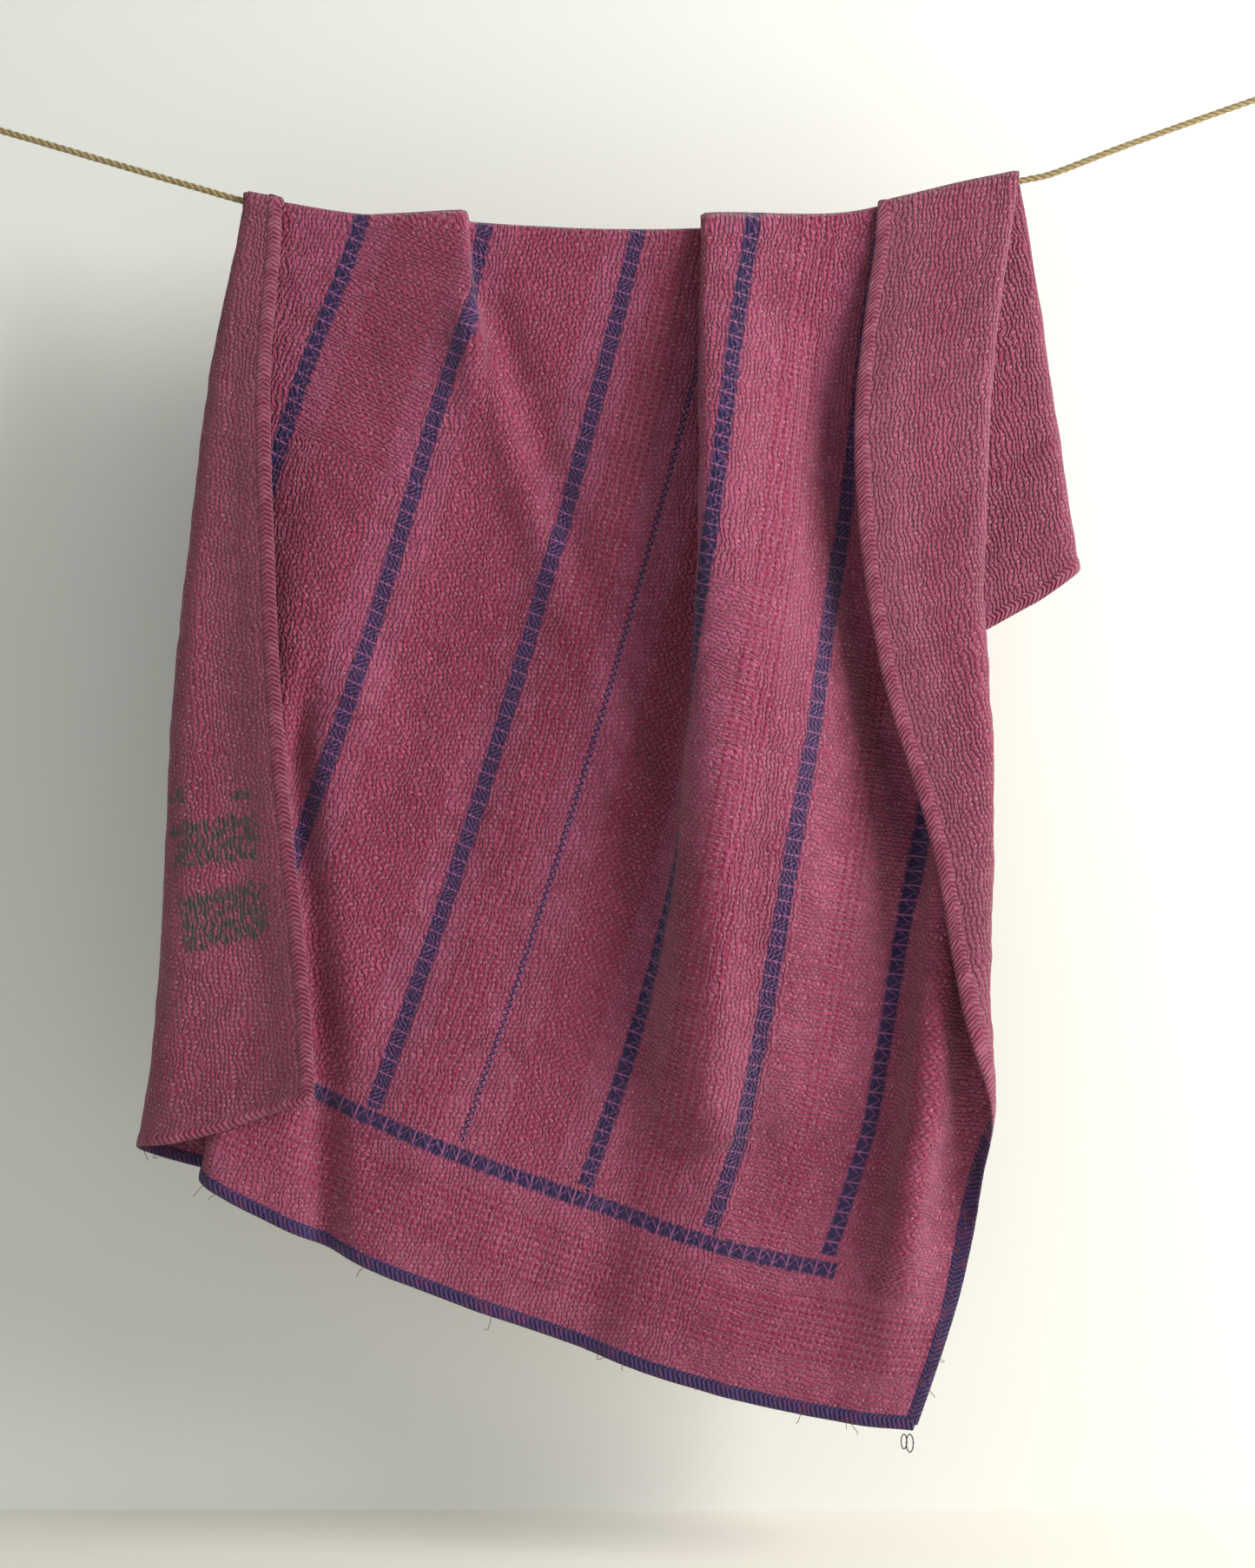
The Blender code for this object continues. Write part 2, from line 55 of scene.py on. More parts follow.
def linearColour(text):
    # sRGB hex to the linear values that a shader reads
    parts = [int(text[i:i + 2], 16) / 255 for i in (1, 3, 5)]
    return tuple(p / 12.92 if p <= 0.04045 else ((p + 0.055) / 1.055) ** 2.4 for p in parts) + (1.0,)


def addNode(tree, kind, links=(), output=None, **settings):
    # adds a node, fills or links its inputs, by place or by name, and gives back its output
    node = tree.nodes.new("ShaderNode" + kind)
    for name, value in settings.items():
        setattr(node, name, value)
    for place, value in links.items() if isinstance(links, dict) else enumerate(links):
        if isinstance(value, bpy.types.NodeSocket):
            tree.links.new(value, node.inputs[place])
        else:
            node.inputs[place].default_value = linearColour(value) if isinstance(value, str) else value
    if output is not None:
        return node.outputs[output]
    return next(socket for socket in node.outputs if socket.enabled)


def newMaterial(name, **values):
    # a Principled material, addNode for its tree, and the shader with its constant values
    material = bpy.data.materials.new(name)
    material.use_nodes = True
    shader = material.node_tree.nodes["Principled BSDF"]
    for socket, value in values.items():
        shader.inputs[socket.replace("_", " ")].default_value = value
    return material, partial(addNode, material.node_tree), shader


def connect(node, **sockets):
    # links each output to the node's input of that name
    for name, socket in sockets.items():
        node.id_data.links.new(socket, node.inputs[name.replace("_", " ")])


def layColours(add, colour, *layers):
    # each layer is a mask, its strength and the colour that it lays over those below
    for mask, strength, over in layers:
        if strength < 1:
            mask = add("Math", [mask, strength], operation="MULTIPLY")
        colour = add("Mix", {0: mask, 6: colour, 7: over}, data_type="RGBA")
    return colour


def layRelief(add, distance, height, *layers):
    # each layer is a mask and its rise over the height so far, and the whole becomes a bump
    for mask, rise in layers:
        height = add("Math", [mask, rise, height], operation="MULTIPLY_ADD")
    return add("Bump", {"Strength": 1.0, "Distance": distance, "Height": height})


def mapSides(add, name):
    # the two sides of a UV map: across and along on cloth
    sides = add("SeparateXYZ", [add("UVMap", uv_map=name)], output="X").node
    return sides.outputs["X"], sides.outputs["Y"]


def smooth(u):
    u = np.clip(u, 0.0, 1.0)
    return u * u * (3.0 - 2.0 * u)


def step(u):
    # a smooth step centred on zero and one unit wide
    return smooth(u + 0.5)


def between(place, start, end, width):
    # 1 from start to end, with soft ends of that width
    return step((place - start) / width) - step((place - end) / width)


def unitNormal(slopeU, slopeV):
    normal = np.cross(slopeU, slopeV)
    return normal / np.linalg.norm(normal, axis=-1)[..., None]


def softNoise(u, v, seed):
    # smooth random heights from -1 to 1 with one bump to each unit of u and v
    table = np.random.default_rng(seed).uniform(-1, 1, (64, 64))
    i, j = np.floor(u).astype(int), np.floor(v).astype(int)
    a, b = smooth(u - i), smooth(v - j)
    low = table[j % 64, i % 64] * (1 - a) + table[j % 64, (i + 1) % 64] * a
    high = table[(j + 1) % 64, i % 64] * (1 - a) + table[(j + 1) % 64, (i + 1) % 64] * a
    return low * (1 - b) + high * b


def addGrid(shape, points, uvs):
    # a grid whose rows and columns are moved to the places given
    layer = shape.loops.layers.uv.get("UVMap") or shape.loops.layers.uv.new("UVMap")
    rows, columns = points.shape[:2]
    made = bmesh.ops.create_grid(shape, x_segments=columns - 1, y_segments=rows - 1, size=1.0)["verts"]
    for vertex in made:
        i = round((vertex.co.x + 1) / 2 * (columns - 1))
        j = round((vertex.co.y + 1) / 2 * (rows - 1))
        vertex.co = points[j, i]
        for loop in vertex.link_loops:
            loop[layer].uv = uvs[j, i]
    return made


def addTube(shape, path, radii, sides=8, closed=False, start=0.0):
    # a round tube along a path; its UV runs round it and along it in metres
    path = np.array(path, float)
    radii = np.broadcast_to(np.array(radii, float), (len(path),))
    normals, sideways = pathFrames(path, closed)
    runs = start + np.concatenate([[0.0], np.cumsum(np.linalg.norm(np.diff(path, axis=0), axis=1))])
    turns = np.linspace(0.0, 2 * math.pi, sides + 1)
    points = (path[:, None] + radii[:, None, None]
              * (np.cos(turns)[None, :, None] * normals[:, None]
                 + np.sin(turns)[None, :, None] * sideways[:, None]))
    points[:, -1] = points[:, 0]
    if closed:
        points[-1] = points[0]
    uvs = np.stack([np.broadcast_to(turns / (2 * math.pi) * 0.012, points.shape[:2]),
                    np.broadcast_to(runs[:, None], points.shape[:2])], axis=-1)
    made = addGrid(shape, points, uvs)
    bmesh.ops.remove_doubles(shape, verts=made, dist=1e-7)
    if not closed:
        made = [vertex for vertex in made if vertex.is_valid]
        rims = {edge for vertex in made for edge in vertex.link_edges if edge.is_boundary}
        bmesh.ops.holes_fill(shape, edges=list(rims), sides=0)


def pathFrames(path, closed=False):
    # two cross directions at each point of a path, carried along without twisting
    ahead = np.roll(path, -1, axis=0) - np.roll(path, 1, axis=0)
    if closed:
        ahead[0] = ahead[-1] = path[1] - path[-2]
    else:
        ahead[0], ahead[-1] = path[1] - path[0], path[-1] - path[-2]
    tangents = ahead / np.linalg.norm(ahead, axis=1)[:, None]
    first = np.cross(tangents[0], (0.13, 0.31, 0.94))
    normals = [first / np.linalg.norm(first)]
    for tangent in tangents[1:]:
        normal = normals[-1] - tangent * normals[-1].dot(tangent)
        normals.append(normal / np.linalg.norm(normal))
    normals = np.array(normals)
    return normals, np.cross(tangents, normals)


def makePiece(name, shape, *materials):
    # turns a finished bmesh into an object at the origin
    mesh = bpy.data.meshes.new(name)
    shape.to_mesh(mesh)
    shape.free()
    piece = bpy.data.objects.new(name, mesh)
    bpy.context.scene.collection.objects.link(piece)
    for material in materials:
        mesh.materials.append(material)
    mesh.shade_smooth()
    return piece


def makeClosedPiece(name, shape, *materials):
    bmesh.ops.recalc_face_normals(shape, faces=shape.faces)
    return makePiece(name, shape, *materials)


# The camera, level and square to the rope, and a plain pale room.

cameraSettings = {"place": (0.9375, -3.19, -0.8313), "lens": 60.57}
roomSettings = {"floorLevel": -1.775, "wallDepth": 0.24, "wallSize": (2.9, 3.1), "reach": 6.5,
                "middle": 0.9}
lightSettings = [
    # name, place, target, size, power, colour
    ("keyLight", (4.3, -1.9, 0.8), (0.9, 0.0, -0.7), 2.3, 222, "#FFFBF6"),
    ("fillLight", (-2.2, -3.0, 0.2), (0.8, 0.0, -0.8), 2.4, 9, "#E6F1F0"),
    ("backLight", (0.9, 3.2, 1.6), (0.9, 0.0, -0.7), 2.0, 80, "#F4F2EE"),
]
worldSettings = {"colour": "#E8EDEA", "strength": 0.42}


def makeCamera():
    data = bpy.data.cameras.new("camera")
    data.lens = cameraSettings["lens"]
    data.sensor_width = 36.0
    camera = bpy.data.objects.new("camera", data)
    camera.location = cameraSettings["place"]
    camera.rotation_euler = (math.radians(90), 0, 0)
    bpy.context.scene.collection.objects.link(camera)
    bpy.context.scene.camera = camera


def makeLights():
    for name, place, target, size, power, colour in lightSettings:
        data = bpy.data.lights.new(name, "AREA")
        data.size = size
        data.energy = power
        data.color = linearColour(colour)[:3]
        light = bpy.data.objects.new(name, data)
        light.location = place
        light.rotation_euler = (Vector(target) - Vector(place)).to_track_quat("-Z", "Y").to_euler()
        bpy.context.scene.collection.objects.link(light)
    world = bpy.data.worlds.new("studio")
    world.use_nodes = True
    background = world.node_tree.nodes["Background"]
    background.inputs["Color"].default_value = linearColour(worldSettings["colour"])
    background.inputs["Strength"].default_value = worldSettings["strength"]
    bpy.context.scene.world = world
    bpy.context.scene.view_settings.view_transform = "Standard"


def paintedPlaster():
    # rolled emulsion on plaster: matt, with a very slight orange-peel grain
    material, add, shader = newMaterial("paintedPlaster", Base_Color=linearColour("#EEF0EC"), Roughness=0.92)
    where = add("TexCoord", output="Object")
    grain = add("TexNoise", {"Vector": where, "Scale": 180.0, "Detail": 3.0})
    connect(shader, Normal=add("Bump", {"Strength": 0.08, "Distance": 0.0006, "Height": grain}))
    # seen from behind the wall lets the view through, so that every side of the quilt shows
    side = add("NewGeometry", output="Backfacing")
    clear = add("BsdfTransparent")
    mixed = add("MixShader", [side, shader.outputs[0], clear])
    connect(material.node_tree.nodes["Material Output"], Surface=mixed)
    return material


def makeRoom():
    middle = roomSettings["middle"]
    # a pale painted floor: matt with a faint shine
    material = newMaterial("paleFloor", Base_Color=linearColour("#E9E7DF"), Roughness=0.7)[0]
    floorShape = bmesh.new()
    bmesh.ops.create_circle(floorShape, cap_ends=True, segments=64, radius=roomSettings["reach"])
    bmesh.ops.translate(floorShape, vec=(middle, 0, roomSettings["floorLevel"]), verts=floorShape.verts)
    floor = makePiece("floor", floorShape, material)
    wallShape = bmesh.new()
    bmesh.ops.create_grid(wallShape, x_segments=1, y_segments=1, size=0.5)
    bmesh.ops.scale(wallShape, vec=(*roomSettings["wallSize"], 1), verts=wallShape.verts)
    bmesh.ops.rotate(wallShape, matrix=Matrix.Rotation(math.pi / 2, 3, "X"), verts=wallShape.verts)
    lift = roomSettings["floorLevel"] + roomSettings["wallSize"][1] / 2
    bmesh.ops.translate(wallShape, vec=(middle, roomSettings["wallDepth"], lift), verts=wallShape.verts)
    wall = makePiece("wall", wallShape, paintedPlaster())


makeCamera()
makeLights()
makeRoom()
print("camera, lights and room made")


# The rope: three-strand jute, tied round the crown of a bow at each end.

ropeSettings = {
    "diameter": 0.008,
    "tiedReach": 0.0438,      # from a bow's crown to its knot's inner end
    "plates": [(0.0, 0.0), (1.875, 0.045)],
    "crownReach": 0.031,
    "way": [(0.179, -0.041), (0.316, -0.081), (0.416, -0.110), (0.454, -0.121), (0.494, -0.131),
            (0.599, -0.149), (0.735, -0.163), (0.851, -0.169), (0.956, -0.170), (1.066, -0.166),
            (1.150, -0.157), (1.229, -0.144), (1.334, -0.119), (1.418, -0.101), (1.455, -0.092),
            (1.544, -0.058), (1.696, -0.004)],
    "lay": 0.029,             # length of one full turn of the strands
    "loopRadius": 0.013,
    "knotLength": 0.022,
    "wraps": 3,
    "wrapRadius": 0.0062,
    "wrapDiameter": 0.0056,
    "coreDiameter": 0.0075,
    "tailDrop": 0.00765,      # from the knot's middle to the tail's start
    "frays": 34,
    "tailLength": 0.045,
    "hairs": 320,
    "samplesPerTurn": 13,
    "strandOffset": 0.255,    # both shares of the diameter
    "strandRadius": 0.265,
}


def routeCurve(points, steps):
    # Catmull-Rom curve through the points, sampled evenly
    p = np.array([points[0]] + list(points) + [points[-1]])
    u = np.arange(24)[:, None] / 24.0
    spans = []
    for i in range(1, len(p) - 2):
        spans.append(0.5 * (2 * p[i] + (p[i + 1] - p[i - 1]) * u
                            + (2 * p[i - 1] - 5 * p[i] + 4 * p[i + 1] - p[i + 2]) * u * u
                            + (3 * p[i] - p[i - 1] - 3 * p[i + 1] + p[i + 2]) * u ** 3))
    samples = np.concatenate(spans + [p[-2:-1]])
    along = np.concatenate([[0.0], np.cumsum(np.linalg.norm(np.diff(samples, axis=0), axis=1))])
    even = np.linspace(0.0, along[-1], steps)
    return np.stack([np.interp(even, along, samples[:, k]) for k in (0, 1)], axis=1)


def tiedRoute():
    r = ropeSettings
    way = r["way"]
    ends = []
    for plate, inward, near in zip(r["plates"], (1, -1), (way[0], way[-1])):
        crown = np.array([plate[0] + inward * r["crownReach"], plate[1]])
        pull = np.array(near) - crown
        ends.append(tuple(crown + pull / np.linalg.norm(pull) * r["tiedReach"]))
    return [ends[0]] + way + [ends[1]]


ropeLine = routeCurve(tiedRoute(), 600)


def ropeLevel(x):
    return np.interp(x, ropeLine[:, 0], ropeLine[:, 1])


def juteMaterial():
    # spun jute: dry bast fibres, pale gold where they catch light and brown between the strands
    material, add, shader = newMaterial("spunJute", Roughness=0.93, Sheen_Weight=0.25, Sheen_Roughness=0.5)
    uv = add("UVMap", uv_map="UVMap")
    # fibres run with the strand: about 0.5 mm apart, drawn a little coarser so that they show
    stretched = add("Mapping", {0: uv, 3: (1500.0, 90.0, 1.0)})
    fibres = add("TexNoise", {"Vector": stretched, "Scale": 1.0, "Detail": 4.0, "Roughness": 0.65})
    patchy = add("TexNoise", {"Vector": uv, "Scale": 24.0, "Detail": 2.0})
    tones = add("ValToRGB", [fibres])
    ramp = tones.node.color_ramp
    ramp.elements[0].position, ramp.elements[0].color = 0.30, linearColour("#6E5A35")
    ramp.elements[1].position, ramp.elements[1].color = 0.72, linearColour("#C9B586")
    shade = add("MapRange", [patchy, 0.3, 0.7, 0.0, 0.55])
    bump = add("Bump", {"Strength": 0.7, "Distance": 0.0007, "Height": fibres})
    connect(shader, Base_Color=layColours(add, tones, (shade, 1, "#94835A")), Normal=bump)
    return material


def addStrands(shape, path, diameter, closed=False):
    # three round strands laid round a path; a closed path takes a whole number of turns
    r = ropeSettings
    path = np.array(path, float)
    runs = np.concatenate([[0.0], np.cumsum(np.linalg.norm(np.diff(path, axis=0), axis=1))])
    turns = runs[-1] / r["lay"] * r["diameter"] / diameter
    if closed:
        turns = max(1, round(turns))
    samples = max(8, int(turns * r["samplesPerTurn"]))
    even = np.linspace(0.0, runs[-1], samples)
    line = np.stack([np.interp(even, runs, path[:, k]) for k in range(3)], axis=1)
    normals, sideways = pathFrames(line, closed)
    for strand in range(3):
        angle = 2 * math.pi * (turns * even / runs[-1] + strand / 3)
        offset = np.cos(angle)[:, None] * normals + np.sin(angle)[:, None] * sideways
        addTube(shape, line + offset * diameter * r["strandOffset"],
                diameter * r["strandRadius"], closed=closed, start=strand * 0.37)


def addHairs(shape, path, diameter, count, seed):
    # stray fibres that stand off the rope
    random = np.random.default_rng(seed)
    for _ in range(count):
        k = random.integers(1, len(path) - 1)
        tangent = (path[k + 1] - path[k - 1]) / np.linalg.norm(path[k + 1] - path[k - 1])
        outward = np.cross(tangent, random.normal(size=3))
        outward /= np.linalg.norm(outward)
        length = random.uniform(0.003, 0.008)
        lean = tangent * random.uniform(-1.0, 1.0)
        u = np.linspace(0, 1, 4)[:, None]
        hair = path[k] + outward * diameter * 0.42 + length * (outward * u * 0.6 + lean * u * u)
        addTube(shape, hair, [0.00016, 0.00014, 0.00012, 0.00007], sides=3)


def makeRopePiece(name, shape, jute, node=None):
    # everything made of jute stays with the line
    piece = makeClosedPiece(name, shape, jute)
    if node:
        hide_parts(node)
    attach(piece, "line")
    return piece


def makeRope(jute):
    route = routeCurve(tiedRoute(), 400)
    path = np.stack([route[:, 0], 0 * route[:, 0], route[:, 1]], axis=1)
    shape = bmesh.new()
    addStrands(shape, path, ropeSettings["diameter"])
    rope = makeRopePiece("juteRope", shape, jute, "rope")
    shape = bmesh.new()
    addHairs(shape, path, ropeSettings["diameter"], ropeSettings["hairs"], 5)
    return rope, makeRopePiece("juteHairs", shape, jute), path


def makeTie(side, end, crown, jute):
    # the eye round the bow, three tight wraps and the short end left hanging
    r = ropeSettings
    diameter = r["diameter"]
    pull = (end - crown) / np.linalg.norm(end - crown)
    across = np.array([0.0, 1.0, 0.0])
    upward = np.cross(pull, across)
    knotLength = r["knotLength"]
    knotCentre = end - pull * (knotLength / 2 + 0.0003)
    loopCentre = end - pull * (knotLength + 0.0006 + r["loopRadius"] + diameter / 2 - 0.0001)

    turn = np.linspace(0, 2 * math.pi, 49)[:, None]
    ring = loopCentre + r["loopRadius"] * (np.cos(turn) * pull + np.sin(turn) * across)
    shape = bmesh.new()
    addStrands(shape, ring, diameter * 0.96, closed=True)
    eye = makeRopePiece(side + "Eye", shape, jute, side + "_loop")

    shape = bmesh.new()
    wraps = r["wraps"]
    u = np.linspace(0, 1, 24 * wraps)[:, None]
    angle = 2 * math.pi * wraps * u
    coil = (knotCentre + pull * (u - 0.5) * (knotLength - 0.006)
            + r["wrapRadius"] * (np.cos(angle) * across + np.sin(angle) * upward))
    addStrands(shape, coil, r["wrapDiameter"])
    core = np.array([knotCentre + pull * t * knotLength * 0.5 for t in (-0.96, -0.5, 0, 0.5, 0.96)])
    addStrands(shape, core, r["coreDiameter"])
    knot = makeRopePiece(side + "Knot", shape, jute, side + "_knot")

    shape = bmesh.new()
    u = np.linspace(0, 1, 14)[:, None]
    start = knotCentre - np.array([0, 0, r["tailDrop"]])
    tailPath = (start + np.array([1.0, 0, 0]) * 0.004 * pull[0] * u * u
                + across * 0.003 * np.sin(u * math.pi)
                - np.array([0, 0, 1.0]) * (r["tailLength"] - 0.008) * u)
    addStrands(shape, tailPath, diameter * 0.92)
    random = np.random.default_rng(11 if side == "left" else 12)
    tip = tailPath[-1]
    for _ in range(r["frays"]):
        spread = random.normal(size=3) * (0.0045, 0.0045, 0.0)
        root = tip + spread * 0.35 + np.array([0, 0, 0.003])
        v = np.linspace(0, 1, 4)[:, None]
        fray = root + spread * v * v - np.array([0, 0, 1.0]) * random.uniform(0.006, 0.013) * v
        addTube(shape, fray, [0.0005, 0.00042, 0.00032, 0.00015], sides=4)
    return [eye, knot, makeRopePiece(side + "Tail", shape, jute, side + "_tail")]


jute = juteMaterial()
rope, hairs, ropePath = makeRope(jute)
ties = [hairs]
for side, end, plate, inward in (("left", ropePath[0], ropeSettings["plates"][0], 1),
                                 ("right", ropePath[-1], ropeSettings["plates"][1], -1)):
    crown = np.array([plate[0] + inward * ropeSettings["crownReach"], 0.0, plate[1]])
    ties += makeTie(side, end, crown, jute)


# How the quilt hangs: one rule takes a point of the flat cloth to its place in the room.

quiltSettings = {
    "width": 1.260,
    "length": 1.990,
    "thickness": 0.0024,       # face, inner and reverse cloths stitched together
    "hemTurn": math.radians(17.3),
    "hemStart": (0.395, -1.296),
    "marginStart": 0.330,
    "bendLinear": 0.050,
    "bendSquare": 0.046,
    "crestLevel": -0.133,
    "crestSlope": 0.0295,
    "stillLine": 0.520,
    "restRadius": 0.0062,
    "foldLift": 0.020,
    "cornerDroop": 0.036,
    "hingeLevel": -0.200,
    "hingeAbove": 0.012,
    "hingeBelow": 0.030,
    "hingeDepth": 0.030,
    "columns": 196,
    "frontRows": 206,
    "backRows": 110,
    "edgeInset": 0.0006,
}
q = quiltSettings

# how far each fold turns the cloth, in degrees, where it is fully made
foldSettings = {"swellTurn": 112, "pleatTurn": 168, "softTurn": 75, "tuckTurn": 100, "waveTurn": 9}
# spacing of the drape's tables, and how much their rows are smoothed
tableSettings = {"sideStep": 0.0025, "downStep": 0.010, "smoothing": 0.35}


def toPlane(across, along):
    # a cloth point on a flat upright plane, before the folds gather it
    run = across - q["marginStart"] + q["bendLinear"] * along - q["bendSquare"] * along * along
    cosine, sine = math.cos(q["hemTurn"]), math.sin(q["hemTurn"])
    return q["hemStart"][0] + run * cosine + along * sine, q["hemStart"][1] - run * sine + along * cosine


def fromPlane(x, z):
    dx, dz = x - q["hemStart"][0], z - q["hemStart"][1]
    cosine, sine = math.cos(q["hemTurn"]), math.sin(q["hemTurn"])
    along, run = dx * sine + dz * cosine, dx * cosine - dz * sine
    return run + q["marginStart"] - q["bendLinear"] * along + q["bendSquare"] * along * along, along


def openness(hang):
    # 0 at the rope, where folds are pressed shut, to 1 at the lowest hem
    return np.sqrt(np.clip(np.abs(hang) / 1.17, 0.0, 1.0))


# Each fold gives its place across the cloth and the cloth that it takes up: its turn is tight at the
# rope and opens below it.

def leftRoll(along, hang):
    return 0.212 - 0.150 * along, 0.012 + 0.134 * openness(hang)


def rightRoll(along, hang):
    fold = 0.05 - 0.21 * smooth((along + 0.05) / 1.35) - 0.05 * np.maximum(along - 1.45, 0.0)
    return q["width"] + fold, 0.012 + 0.078 * openness(hang)


def mainPleat(hang):
    return 0.688 + 0.13 * np.clip(hang, 0.0, 1.1), 0.066, 0.012 + 0.058 * openness(hang)


def turning(across, along, hang):
    # direction of the level section of the cloth, seen from above
    f = foldSettings
    far = np.abs(hang)
    place, width = leftRoll(along, hang)
    leftPlace = place
    angle = math.pi * (1.0 - step((across - place) / width))
    # the left margin stands out in a swell beside its roll
    swell = math.radians(f["swellTurn"]) * smooth(far / 1.15) ** 2
    centre = place + width / 2 + 0.062
    angle -= swell * between(across, centre - 0.026, centre + 0.026, 0.05)
    margin, width = rightRoll(along, hang)
    angle -= math.pi * step((across - margin) / width)
    place, width, turn = mainPleat(hang)
    opened = np.where(hang > 0, far, 0.4 * far)
    pleat = math.radians(f["pleatTurn"]) * np.clip(1.0 - opened / 1.1, 0.0, 1.0) ** 0.62
    angle -= pleat * between(across, place - width / 2, place + width / 2, turn)
    # a soft fold beside the right margin, low on the front
    soft = math.radians(f["softTurn"]) * smooth((along - 0.01) / 0.3) * (1.0 - smooth((along - 0.43) / 0.5))
    centre = q["width"] - 0.095 - 0.1 * (along - 0.3)
    angle -= soft * between(across, centre - 0.04, centre + 0.01, 0.06)
    angle += 0.6 * soft * between(across, centre + 0.01, centre + 0.06, 0.06)
    # the short slanted tuck near the rope, eased out again on its left
    slant = math.radians(f["tuckTurn"]) * smooth(1.0 - far / 0.33)
    centre = 0.312 + 0.36 * np.clip(hang, 0.0, 0.4)
    angle += slant * between(across, centre - 0.008, centre + 0.008, 0.013)
    angle -= 0.133 * slant * between(across, centre - 0.13, centre - 0.015, 0.03)
    wave = math.radians(f["waveTurn"]) * smooth(far / 0.5) * step((across - leftPlace - 0.1) / 0.1)
    wave *= 1.0 - step((across - margin + 0.1) / 0.1)
    return angle + wave * np.sin((across - 0.33) / 0.052 + 0.8 * np.sin(along / 0.42))


def drapeTables():
    # level sections of constant length, summed once and then looked up
    sideStep = tableSettings["sideStep"]
    xs, zs = np.arange(-0.30, 2.10, sideStep), np.arange(-1.75, 1.10, tableSettings["downStep"])
    x, z = np.meshgrid(xs, zs)
    across, along = fromPlane(x, z)
    hang = q["crestLevel"] + q["crestSlope"] * x - z
    angle = turning(across, along, hang)
    sideways = np.cumsum(np.cos(angle), axis=1) * sideStep
    outward = -np.cumsum(np.sin(angle), axis=1) * sideStep
    rows = np.arange(len(zs))
    still = np.abs(across - q["stillLine"]).argmin(axis=1)
    places = x[rows, still][:, None] + sideways - sideways[rows, still][:, None]

    # the cloth is brought back near the rope's plane at both margins and beside the pleat
    place, width = leftRoll(along, hang)
    left = place + width / 2 + 0.006
    place, width = rightRoll(along, hang)
    covered = np.maximum(q["width"] - place, 0.0)
    right = np.minimum(place - width / 2 - 0.02 - covered, q["width"] - 0.15)
    place, width, turn = mainPleat(hang)
    before, after = place - width / 2 - turn / 2, place + width / 2 + turn / 2
    right = np.maximum(right, after + 0.08)
    depths = [outward[rows, np.abs(across - mark).argmin(axis=1)][:, None]
              for mark in (left, before, after, right)]
    start = np.maximum(left, 0.04) + 0.12
    flat = outward - depths[0] - (depths[1] - depths[0]) * smooth((across - start) / (before - start))
    flat -= (depths[3] - depths[1]) * smooth((across - after) / (right - after))
    far = np.abs(hang)
    outs = flat * (0.7 + 0.3 * smooth(far / 0.25)) + q["foldLift"] * smooth(far / 0.4)
    return xs, zs, places, outs


tableX, tableZ, placeTable, outTable = drapeTables()


def lookUp(table, x, z):
    t = tableSettings
    u = np.clip((x - tableX[0]) / t["sideStep"], 0, len(tableX) - 1.001)
    v = np.clip((z - tableZ[0]) / t["downStep"], 0, len(tableZ) - 1.001)
    i, j = u.astype(int), v.astype(int)
    u, v = u - i, smooth(v - j) * t["smoothing"] + (v - j) * (1 - t["smoothing"])
    return ((table[j, i] * (1 - u) + table[j, i + 1] * u) * (1 - v)
            + (table[j + 1, i] * (1 - u) + table[j + 1, i + 1] * u) * v)


def drape(across, along):
    x0, z0 = toPlane(across, along)
    x = lookUp(placeTable, x0, z0)
    reach = q["restRadius"] + 0.0015 + np.maximum(lookUp(outTable, x0, z0), -0.0015)
    past = z0 - q["crestLevel"] - q["crestSlope"] * x0
    quarter = math.pi / 2
    bend = np.clip(past / q["restRadius"], -quarter, quarter)
    hang = np.maximum(0.0, np.abs(past) - q["restRadius"] * quarter)
    droop = (smooth(across / 0.18) - smooth((across - 0.22) / 0.15)) * (1 - smooth(along / 0.6))
    return np.stack([x, reach * np.sin(bend), ropeLevel(x) + reach * np.cos(bend) - hang
                     - droop * q["cornerDroop"]], axis=-1)


def hangAt(across, along):
    x0, z0 = toPlane(across, along)
    return q["crestLevel"] + q["crestSlope"] * x0 - z0


def crestAlong(across):
    # where each column of the cloth crosses the rope, found by halving
    low, high = np.full(np.shape(across), 0.5), np.full(np.shape(across), 2.2)
    for _ in range(36):
        middle = (low + high) / 2
        below = hangAt(across, middle) > 0
        low, high = np.where(below, middle, low), np.where(below, high, middle)
    return (low + high) / 2


# The needlework: where each band of coloured stitching runs on the flat cloth.

stitchSettings = {
    "border": 0.165,            # plain margin outside the bands
    "bandReach": 0.0145,        # cloth each side of a band's middle that belongs to it
    # place across, kind of stitching: 1 ladder, 2 slanted blocks, 3 rickrack
    "bands": [(0.180, 1), (0.342, 2), (0.520, 2), (0.628, 3), (0.782, 1), (0.940, 2), (1.090, 1)],
    # tone-on-tone stitching between the bands: 4 diamonds, 5 contour zigzags
    "quiet": [(0.090, 5, 0.016), (0.262, 5, 0.042), (0.432, 5, 0.050), (0.576, 4, 0.020), (0.705, 5, 0.036),
              (0.862, 4, 0.024), (1.016, 4, 0.020), (1.175, 5, 0.022)],
    "crossRibs": [(0.700, 0.860, 0.30, 0.95), (0.955, 1.26, 0.0, 1.99), (0.190, 0.330, 0.9, 1.35)],
}


